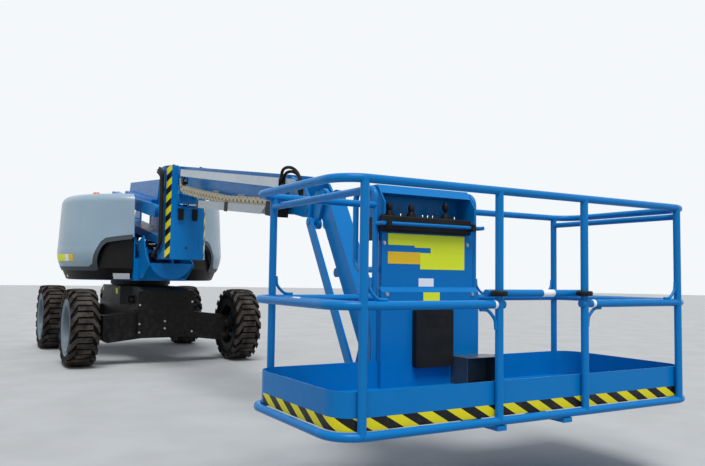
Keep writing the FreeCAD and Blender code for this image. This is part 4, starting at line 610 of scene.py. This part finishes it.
# Hose chain: the solid links get pin bosses and the hoses that run inside them. All of it is measured in the
# boom's own frame. Blocks are (low corner, high corner); clips are (start, end) along the tray.
chain = {"pitch": 0.100, "bend": (0.961, 0.0), "radius": 0.095, "firstAngle": 148, "half": 0.045, "seat": 0.0217,
         "drop": (1.520, -0.112), "trayPins": (2.400, 3.465), "outerY": -0.280, "width": 0.060,
         "middleY": -0.250, "hoseY": (-0.016, 0.010), "hoseUp": (-0.007, 0.007), "hose": 0.0062,
         "boss": 0.013, "rivet": 0.006, "trayX": 1.555, "trayZ": -0.182, "slope": 0.0385,
         "clamp": ((0.905, -0.285, -0.030), (0.985, -0.225, 0.035)),
         "fitting": ((0.983, -0.255, 0.010), (1.010, -0.255, 0.010), 0.017),
         "clips": ((1.556, 1.602), (2.420, 2.507)),
         "bracket": [((3.426, -0.2935, -0.190), (3.640, -0.2865, -0.070)),
                     ((3.426, -0.1800, -0.190), (3.640, -0.1730, -0.070)),
                     ((3.426, -0.2930, -0.190), (3.640, -0.1735, -0.183)),
                     ((3.632, -0.2930, -0.190), (3.640, -0.1735, -0.100))]}


def trayTop(x):
    return chain["trayZ"] + (x - chain["trayX"]) * chain["slope"]


def chainPins():
    # pin places in the boom's frame: round the bend, down to the tray, then along it
    cx, cz = chain["bend"]
    turn = 2 * math.asin(chain["pitch"] / 2 / chain["radius"])
    pins = []
    for i in range(3):
        a = math.radians(chain["firstAngle"]) + i * turn
        pins.append((cx + chain["radius"] * math.cos(a), cz + chain["radius"] * math.sin(a)))
    onTray = [(x, trayTop(x) + chain["half"] - chain["seat"]) for x in chain["trayPins"]]
    for goal in [(chain["drop"][0], cz + chain["drop"][1])] + onTray:
        while math.dist(pins[-1], goal) > chain["pitch"] / 2 and pins[-1][0] < goal[0]:
            x, z = pins[-1]
            a = math.atan2(goal[1] - z, goal[0] - x)
            pins.append((x + chain["pitch"] * math.cos(a), z + chain["pitch"] * math.sin(a)))
    return pins


def makeChainDetail():
    pins = chainPins()
    boss = stacked("chain boss", [(14, chain["boss"], chain["boss"] * 0.92, 0.006, 0.003),
                                  (10, chain["rivet"], chain["rivet"] - 0.001, 0.003, 0.0075)])
    for word, y, turn in (("", chain["outerY"], math.pi / 2),
                          ("_inside", chain["outerY"] + chain["width"], -math.pi / 2)):
        spots = [(alongBoom(x, y, z), (turn, 0, 0)) for x, z in pins[1:-1]]
        repeated(f"chain_pin_heads{word}", boss, spots, chainPlastic, "boom")
    routes = [[alongBoom(x, chain["middleY"] + y, z + up) for x, z in pins]
              for y in chain["hoseY"] for up in chain["hoseUp"]]
    pipe("chain_hoses", routes, chain["hose"], hoseRubber, "boom")
    blocks("chain_clamp", [chain["clamp"]], blackPlastic, "extension", 0.004, boomTurn)
    start, end, radius = chain["fitting"]
    rounds("chain_fitting", [(alongBoom(*start), alongBoom(*end), radius)], brightSteel, "extension",
           18)
    clips = []
    for x0, x1 in chain["clips"]:
        z = trayTop((x0 + x1) / 2)
        clips.append(((x0, -0.2945, z - 0.086), (x1, -0.2902, z + 0.004)))
        clips.append(((x0, -0.2945, z + 0.001), (x1, -0.282, z + 0.006)))
    blocks("tray_clips", clips, blackPlastic, "boom", 0.0015, boomTurn)
    blocks("chain_end_bracket", chain["bracket"], blackEnamel, "boom", 0.0015, boomTurn)


makeChainDetail()

# Two hoses over the boom's tip, rounder than the solids'; each loop is
# (y, z of its start, x of its crest, top, y of its way down, foot)
tipHose = {"from": 3.640, "ear": 0.132, "radius": 0.013, "down": 0.230,
           "loops": [(-0.270, 0.112, 3.668, 0.216, -0.215, -0.005),
                     (-0.240, 0.078, 3.656, 0.184, -0.186, -0.035)]}


def makeTipHoses():
    routes = []
    for y, z, crest, rise, out, drop in tipHose["loops"]:
        down = crest + tipHose["down"]
        path = [(tipHose["from"], y, z), (crest - 0.012, y, z), (crest - 0.018, y, (z + rise) / 2),
                (crest + 0.010, y, rise), (crest + 0.100, (y + out) / 2, rise + 0.016),
                (down - 0.040, out, rise - 0.030), (down, out, (rise + drop) / 2), (down, out, drop),
                (down, -tipHose["ear"], drop)]
        routes.append([alongBoom(*p) for p in path])
    loops = pipe("tip_hose_loops", routes, tipHose["radius"], hoseRubber, "extension")
    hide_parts("tip_hoses")


makeTipHoses()
print("chain done")

# Covers and tubs about the slew axis
cover = {"radius": 1.180, "tuck": 0.050, "footZ": 1.260, "waistZ": 1.550, "shoulderZ": 2.165, "lean": 0.035,
         "bellyIn": 0.010, "bellyUp": 0.110, "innerY": 0.380, "tubFoot": 1.050, "tubWaist": 1.116, "tubLow": 1.105,
         "steps": (60, 5, 16, 5, 12), "proud": {"trim": 0.0035, "lip": 0.0012}, "skin": 0.005}
# the border's lines as (x, z) corners, seen from the side: the cover's own edge, then the border's two
coverLines = {
    "lip": [(-1.060, 1.292), (0.702, 1.294), (0.720, 1.310), (0.853, 1.605), (0.945, 1.700), (1.106, 1.724)],
    "upper": [(-1.060, 1.276), (0.719, 1.277), (0.788, 1.321), (0.892, 1.618), (0.931, 1.667), (1.106, 1.720)],
    "lower": [(-1.060, 1.222), (0.781, 1.222), (0.817, 1.247), (0.913, 1.555), (0.946, 1.604), (1.106, 1.657)]}


def coverRadius(z):
    if z >= cover["waistZ"]:
        return cover["radius"] - cover["lean"] * (z - cover["waistZ"]) / (cover["shoulderZ"] - cover["waistZ"])
    # circle through the foot, the belly and the waist
    ax, ay = cover["radius"] - cover["tuck"], cover["footZ"]
    bx, by = cover["radius"] - cover["bellyIn"], cover["footZ"] + cover["bellyUp"]
    cx, cy = cover["radius"], cover["waistZ"]
    d = 2 * (ax * (by - cy) + bx * (cy - ay) + cx * (ay - by))
    a, b, c = ax**2 + ay**2, bx**2 + by**2, cx**2 + cy**2
    ux = (a * (by - cy) + b * (cy - ay) + c * (ay - by)) / d
    uy = (a * (cx - bx) + b * (ax - cx) + c * (bx - ax)) / d
    reach = math.hypot(ax - ux, ay - uy)
    return ux + math.sqrt(reach**2 - (max(z, cover["footZ"] - 0.04) - uy) ** 2)


def tubRadius(z):
    rise = min((z - cover["tubLow"]) / (cover["footZ"] - cover["tubLow"]), 1)
    return cover["tubFoot"] + (cover["tubWaist"] - cover["tubFoot"]) * rise


def onRound(x, z, side, radius):
    return inSlew(x, side * math.sqrt(max(radius * radius - x * x, cover["innerY"] ** 2)), z)


def fromAxis(point):
    return Vector((point.x - slewX, point.y, 0)).normalized()


def makeCoverTrim():
    # grey border that hangs over the tub, and the strip of cover between it and the solid's edge
    lines = {}
    for kind, corners in coverLines.items():
        line = []
        for (x0, z0), (x1, z1), n in zip(corners, corners[1:], cover["steps"]):
            line += [(x0 + (x1 - x0) * i / n, z0 + (z1 - z0) * i / n) for i in range(n)]
        lines[kind] = line + [corners[-1]]
    for word, side in (("left", 1), ("right", -1)):
        for kind, low, high, finish in (("trim", "lower", "upper", trimPaint), ("lip", "upper", "lip", coverPaint)):
            edges = [[onRound(x, z, side, coverRadius(z) + cover["proud"][kind]) for x, z in lines[k]]
                     for k in (low, high)]
            skinStrip(f"cover_{kind}_{word}", *edges, fromAxis, cover["skin"], finish, f"cover_{word}", "cover_grey")


def roundPlate(name, angles, heights, radiusOf, material, body):
    # thin plate bent to a round side, between two angles about the slew axis and two heights
    across, up = 12, 6
    points, faces = [], []
    for depth in (0.0016, 0.0004):
        for j in range(up + 1):
            z = heights[0] + (heights[1] - heights[0]) * j / up
            reach = radiusOf(z) + depth
            for i in range(across + 1):
                a = math.radians(angles[0] + (angles[1] - angles[0]) * i / across)
                points.append(inSlew(reach * math.cos(a), reach * math.sin(a), z))
    row, sheet = across + 1, (across + 1) * (up + 1)
    for j in range(up):
        for i in range(across):
            k = j * row + i
            faces.append((k, k + 1, k + row + 1, k + row))
            faces.append((k + sheet, k + sheet + row, k + sheet + row + 1, k + sheet + 1))
    rim = [i for i in range(across)] + [j * row + across for j in range(up)]
    rim += [up * row + across - i for i in range(across)] + [(up - j) * row for j in range(up)]
    faces += [(k, k + sheet, n + sheet, n) for k, n in zip(rim, rim[1:] + rim[:1])]
    addPiece(name, turnedOut(meshOf(name, points, faces)), material, body)


makeCoverTrim()
# name, angles about the slew axis, heights, the side it lies on, finish
for name, angles, heights, radiusOf, finish in (
        ("cover_plate_yellow", (-95.6, -74.3), (1.353, 1.449), coverRadius, plateYellow),
        ("cover_plate_white", (-74.0, -69.5), (1.353, 1.449), coverRadius, plateWhite),
        ("cover_plate_orange", (-69.2, -64.2), (1.353, 1.449), coverRadius, plateOrange),
        ("tub_plate_white", (-33.6, -21.6), (1.112, 1.191), tubRadius, plateWhite),
        ("tub_reflector", (-85.0, -82.0), (1.130, 1.162), tubRadius, plateYellow)):
    body, slotName = ("cover_right", "cover_grey") if radiusOf is coverRadius else ("turntable", "black_paint")
    roundPlate(name, angles, heights, radiusOf, finish, body)
print("covers done")

# Chassis: wide front plate with its bolts as (y, z), and two blank plates on the frame's right side
chassis = {"faceX": 1.420, "halfWidth": 0.375, "low": 0.352, "high": 0.962, "plate": 0.010, "gap": 0.0002,
           "cutLow": 0.045, "cutHigh": 0.020,
           "bolts": [(-0.352, 0.779), (-0.352, 0.530), (-0.352, 0.420), (0.352, 0.819), (0.352, 0.420),
                     (-0.016, 0.562), (-0.017, 0.467)],
           "sideY": (-0.4313, -0.4302), "sidePlates": [(-0.588, -0.500, 0.925, 0.990), (0.330, 0.450, 0.900, 0.978)]}


def makeChassisFront():
    x, half = chassis["faceX"] + chassis["gap"], chassis["halfWidth"]
    low, high, cut, top = chassis["low"], chassis["high"], chassis["cutLow"], chassis["cutHigh"]
    outline = [(-half, low + cut), (-half + cut, low), (half - cut, low), (half, low + cut), (half, high - top),
               (half - top, high), (-half + top, high), (-half, high - top)]
    form = bmesh.new()
    face = form.faces.new([form.verts.new(inSlew(x, y, z)) for y, z in outline])
    grown = bmesh.ops.extrude_face_region(form, geom=[face])["geom"]
    for vert in [g for g in grown if isinstance(g, bmesh.types.BMVert)]:
        vert.co.x += chassis["plate"]
    bmesh.ops.recalc_face_normals(form, faces=form.faces)
    bmesh.ops.bevel(form, geom=form.edges[:], offset=0.0015, segments=2, affect="EDGES", clamp_overlap=True)
    addPiece("chassis_front_plate", meshFrom(form, "front plate"), blackEnamel, "chassis")
    spots = [(inSlew(x + chassis["plate"], y, z), (0, math.pi / 2, 0)) for y, z in chassis["bolts"]]
    repeated("chassis_front_bolts", boltHead(0.011, 0.012), spots, brightSteel, "chassis")
    y0, y1 = chassis["sideY"]
    blocks("chassis_side_plates", [(inSlew(x0, y0, z0), inSlew(x1, y1, z1)) for x0, x1, z0, z1 in
                                   chassis["sidePlates"]], plateYellow, "chassis", 0.0003)


makeChassisFront()
print("chassis done")

# Platform, measured along X from the centre line of its rear posts
platform = {"rearX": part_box("platform_floor")[0].x - 0.0213, "depth": 0.994, "middleY": 0.073, "floorZ": 0.490,
            "halfRing": 1.233, "corner": 0.150, "tapeInset": 0.0205, "tapeLow": 0.020, "tapeHigh": 0.078,
            "tapeStart": 0.146, "pitch": 0.172, "lean": 0.58}


def toeTape():
    # strip on the toe board's outside, along both sides and the front; its bars lean one way all round
    inset = platform["tapeInset"]
    x0 = platform["rearX"] + platform["tapeStart"]
    x1 = platform["rearX"] + platform["depth"] - inset
    reach = platform["halfRing"] - inset
    radius = platform["corner"] - inset
    line, out = [], []
    for side in (-1, 1):
        centre = Vector((x1 - radius, platform["middleY"] + side * (reach - radius), 0))
        arc = []
        for i in range(11):
            a = math.pi / 2 * i / 10
            way = Vector((math.cos(a), side * math.sin(a), 0))
            arc.append((centre + way * radius, way))
        start = (Vector((x0, centre.y + side * radius, 0)), Vector((0, side, 0)))
        arc = [start] + arc[::-1] if side < 0 else arc + [start]
        line += [p for p, _ in arc]
        out += [n for _, n in arc]
    # each station of the strip has four corners, its high ones `lean` of a bar further on
    run, runs, lows, highs = 0.0, [], [], []
    for i, p in enumerate(line):
        run += (p - line[i - 1]).length if i else 0
        bar = run / platform["pitch"]
        runs += [bar, bar + platform["lean"], bar + platform["lean"], bar]
        lows.append(Vector((p.x, p.y, platform["floorZ"] + platform["tapeLow"])))
        highs.append(Vector((p.x, p.y, platform["floorZ"] + platform["tapeHigh"])))
    ways = {(round(p.x, 5), round(p.y, 5)): n for p, n in zip(line, out)}
    skinStrip("toe_tape", lows, highs, lambda p: ways[(round(p.x, 5), round(p.y, 5))], 0.0009, barTape,
              "platform", "blue_paint", run=runs)


toeTape()

# Console: blank plates as (y, y, z, z, colour) on its upper and lower sheets, heights from the floor
console = {"upperX": platform["rearX"] + 0.0295, "lowerX": platform["rearX"] + 0.0543, "z": 0.490,
           "thick": 0.0011, "upperBolts": ((-0.303, 0.916), (0.352, 0.924)),
           "lowerBolts": ((-0.294, 0.600), (0.377, 0.600)),
           "upper": [(-0.275, -0.0736, 0.906, 0.978, "y"), (-0.0735, 0.0518, 0.894, 0.978, "y"),
                     (0.0519, 0.328, 0.8612, 0.978, "y"), (-0.0295, 0.328, 0.757, 0.8611, "y"),
                     (-0.275, -0.0296, 0.789, 0.864, "o"), (-0.041, 0.077, 0.648, 0.700, "w")],
           "lower": [(-0.021, 0.108, 0.551, 0.612, "y")]}


def makeConsolePlates():
    finishes = {"y": ("yellow", plateYellow), "o": ("orange", plateOrange), "w": ("white", plateWhite)}
    for kind, (word, finish) in finishes.items():
        boxes = []
        for sheet in ("upper", "lower"):
            x = console[sheet + "X"]
            boxes += [((x, y0, console["z"] + z0), (x + console["thick"], y1, console["z"] + z1))
                      for y0, y1, z0, z1, k in console[sheet] if k == kind]
        blocks(f"console_plates_{word}", boxes, finish, "platform", 0.0003)
    spots = [(Vector((console[sheet + "X"], y, console["z"] + z)), (0, math.pi / 2, 0))
             for sheet in ("upper", "lower") for y, z in console[sheet + "Bolts"]]
    repeated("console_bolts", boltHead(0.010, 0.008), spots, brightSteel, "platform")
    # raised frame on the document box and black clamps at the guard bar's ends
    low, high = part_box("literature_box")
    x, y0, y1, z0, z1 = high.x - 0.0002, low.y + 0.085, low.y + 0.245, low.z + 0.255, low.z + 0.322
    bead = 0.004
    frameBoxes = [((x, y0, z0), (x + 0.002, y1, z0 + bead)), ((x, y0, z1 - bead), (x + 0.002, y1, z1)),
                  ((x, y0, z0), (x + 0.002, y0 + bead, z1)), ((x, y1 - bead, z0), (x + 0.002, y1, z1))]
    blocks("document_box_frame", frameBoxes, blackPlastic, "platform", 0.0008)
    barX, barZ = platform["rearX"] + 0.085, console["z"] + 1.035
    clamps = [((barX - 0.022, y0, barZ - 0.024), (barX + 0.022, y0 + 0.036, barZ + 0.022))
              for y0 in (-0.330, 0.332)]
    blocks("guard_bar_clamps", clamps, blackPlastic, "platform", 0.005)


makeConsolePlates()
# joysticks: folded rubber boot at the foot, ball grip at the top
boot = [(0.034, 0.000), (0.036, 0.006), (0.030, 0.012), (0.032, 0.018), (0.024, 0.024), (0.026, 0.030),
        (0.016, 0.037), (0.010, 0.044)]
grip = [(0.009, -0.058), (0.014, -0.052), (0.0195, -0.040), (0.0215, -0.026), (0.0200, -0.012), (0.0150, -0.003),
        (0.0060, 0.0)]
# across the machine, and height of the grip's top over the floor
stick = {"x": console["upperX"] - 0.0455, "tray": console["z"] + 1.0865,
         "grips": ((-0.238, 1.173), (-0.070, 1.169), (0.205, 1.197)),
         "switches": (-0.160, 0.010, 0.050, 0.090, 0.270)}
turnedKnobs("joystick_boots", [(stick["x"], y, stick["tray"]) for y, _ in stick["grips"]], boot,
            hoseRubber, "platform")
turnedKnobs("joystick_grips", [(stick["x"], y, console["z"] + z) for y, z in stick["grips"]], grip,
            blackPlastic, "platform")
# small switches on the tray and the black box on the hood's cheek
turnedKnobs("tray_switches", [(stick["x"] + 0.012, y, stick["tray"]) for y in stick["switches"]],
            [(0.007, 0.0), (0.007, 0.005), (0.003, 0.006), (0.0034, 0.020), (0.001, 0.022)], brightSteel,
            "platform", 12)
blocks("cheek_box", [((platform["rearX"] - 0.140, -0.338, 1.423), (platform["rearX"] - 0.012, -0.3205, 1.569))],
       blackPlastic, "platform", 0.003)

# Rails: posts across the machine, the middle rail's height, white bands as (start, length)
rail = {"z": 1.067, "left": -1.035, "right": 1.181, "gate": (-0.237, 0.377), "hoops": (-0.350, 0.430),
        "brace": 0.0085, "bands": [(0.284, 0.090), (0.897, 0.053)],
        "gateBand": (0.111, 0.196), "gateX": 0.055, "gateZ": 1.122,
        "shape": ((0.024, 0.125), (0.025, 0.090), (0.032, 0.068), (0.066, 0.034), (0.085, 0.026),
                  (0.106, 0.025), (0.126, 0.025))}


def railBraces():
    # bent rods that stiffen a post where it meets the middle rail, above or below it
    rear, front = platform["rearX"], platform["rearX"] + platform["depth"]
    low, high = rail["gate"]
    corners = [(front, rail["left"], 1, 1), (front, rail["right"], -1, 1), (rear, rail["left"], 1, 1),
               (rear, rail["right"], -1, 1), (rear, rail["hoops"][0], -1, 1), (rear, rail["hoops"][1], 1, 1),
               (front, low, -1, -1), (front, high, 1, -1)]
    routes = [[(x, y + way * out, rail["z"] + up * rise) for out, rise in rail["shape"]]
              for x, y, way, up in corners]
    pipe("rail_braces", routes, rail["brace"], blueEnamel, "platform")
    bands = [((rear + x, rail["left"], rail["z"]), (rear + x + w, rail["left"], rail["z"]), 0.0186)
             for x, w in rail["bands"]]
    bands += [((front, y0, rail["z"]), (front, y1, rail["z"]), 0.0216)
              for y0, y1 in ((low - 0.038, low - 0.022), (high + 0.053, high + 0.074))]
    rounds("rail_bands", bands, plateWhite, "platform", 24, 0.0003)
    barX = front - rail["gateX"]
    rounds("gate_bar_band", [((barX, rail["gateBand"][0], rail["gateZ"]), (barX, rail["gateBand"][1], rail["gateZ"]),
                              0.0194)], plateWhite, "entry_bar", 24, 0.0003)
    collar = [(0.0225, -0.013), (0.040, -0.013), (0.0435, -0.008), (0.0435, 0.008), (0.040, 0.013), (0.0225, 0.013)]
    turnedKnobs("gate_bar_collars", [(front, y, rail["gateZ"]) for y in rail["gate"]], collar, blackPlastic,
                "entry_bar", 32)


railBraces()
print("platform done")

camera = {"place": inSlew(10.893, -2.681, 1.199), "turn": (93.4725, -0.8121, 59.5725), "lens": 36.18}
cameraData = bpy.data.cameras.new("photo view")
cameraData.lens = camera["lens"]
cameraData.sensor_width = 36
cameraData.clip_end = 200
photoCamera = bpy.data.objects.new("photo view", cameraData)
photoCamera.location = camera["place"]
photoCamera.rotation_euler = Euler([math.radians(a) for a in camera["turn"]])
bpy.context.scene.collection.objects.link(photoCamera)
bpy.context.scene.camera = photoCamera

studio = {"sky": "f4f8fb", "skyLight": "dfe8f2", "skyPower": 0.55, "sunPower": 2.6, "sunAngle": 30,
          "sunTurn": (25, 0, 70), "floor": "b5b6b6"}


def makeStudio():
    world = bpy.data.worlds.new("overcast sky")
    world.use_nodes = True
    tree = world.node_tree
    back = tree.nodes["Background"]
    back.inputs[0].default_value = hexColour(studio["skyLight"])
    back.inputs[1].default_value = studio["skyPower"]
    # the eye, gloss and glass see the pale sky at its own strength; matt faces get the softer light
    seen = addNode(tree, "ShaderNodeBackground", {0: hexColour(studio["sky"]), 1: 1.0})
    rays = addNode(tree, "ShaderNodeLightPath").outputs
    either = addNode(tree, "ShaderNodeMath", {0: rays["Is Camera Ray"], 1: rays["Is Glossy Ray"]},
                     operation="MAXIMUM")
    anyRay = addNode(tree, "ShaderNodeMath", {0: either.outputs[0], 1: rays["Is Transmission Ray"]},
                     operation="MAXIMUM")
    mix = addNode(tree, "ShaderNodeMixShader", {0: anyRay.outputs[0], 1: back.outputs[0], 2: seen.outputs[0]})
    tree.links.new(mix.outputs[0], tree.nodes["World Output"].inputs["Surface"])
    bpy.context.scene.world = world
    sun = bpy.data.lights.new("soft key", "SUN")
    sun.energy = studio["sunPower"]
    sun.angle = math.radians(studio["sunAngle"])
    holder = bpy.data.objects.new("soft key", sun)
    holder.rotation_euler = Euler([math.radians(a) for a in studio["sunTurn"]])
    bpy.context.scene.collection.objects.link(holder)
    floor = bpy.data.meshes.new("studio floor")
    form = bmesh.new()
    bmesh.ops.create_circle(form, cap_ends=True, radius=60, segments=64)
    form.to_mesh(floor)
    form.free()
    material, tree, shader, place = newMaterial("pale floor")
    grain = mottle(tree, place, 0.6)
    tree.links.new(blendColour(tree, grain, hexColour(studio["floor"]), hexColour("adaeae")),
                   shader.inputs["Base Color"])
    shader.inputs["Roughness"].default_value = 0.85
    piece = addPiece("studio floor", floor, material, None)


makeStudio()
bpy.context.scene.view_settings.view_transform = "Standard"
print("scene done")
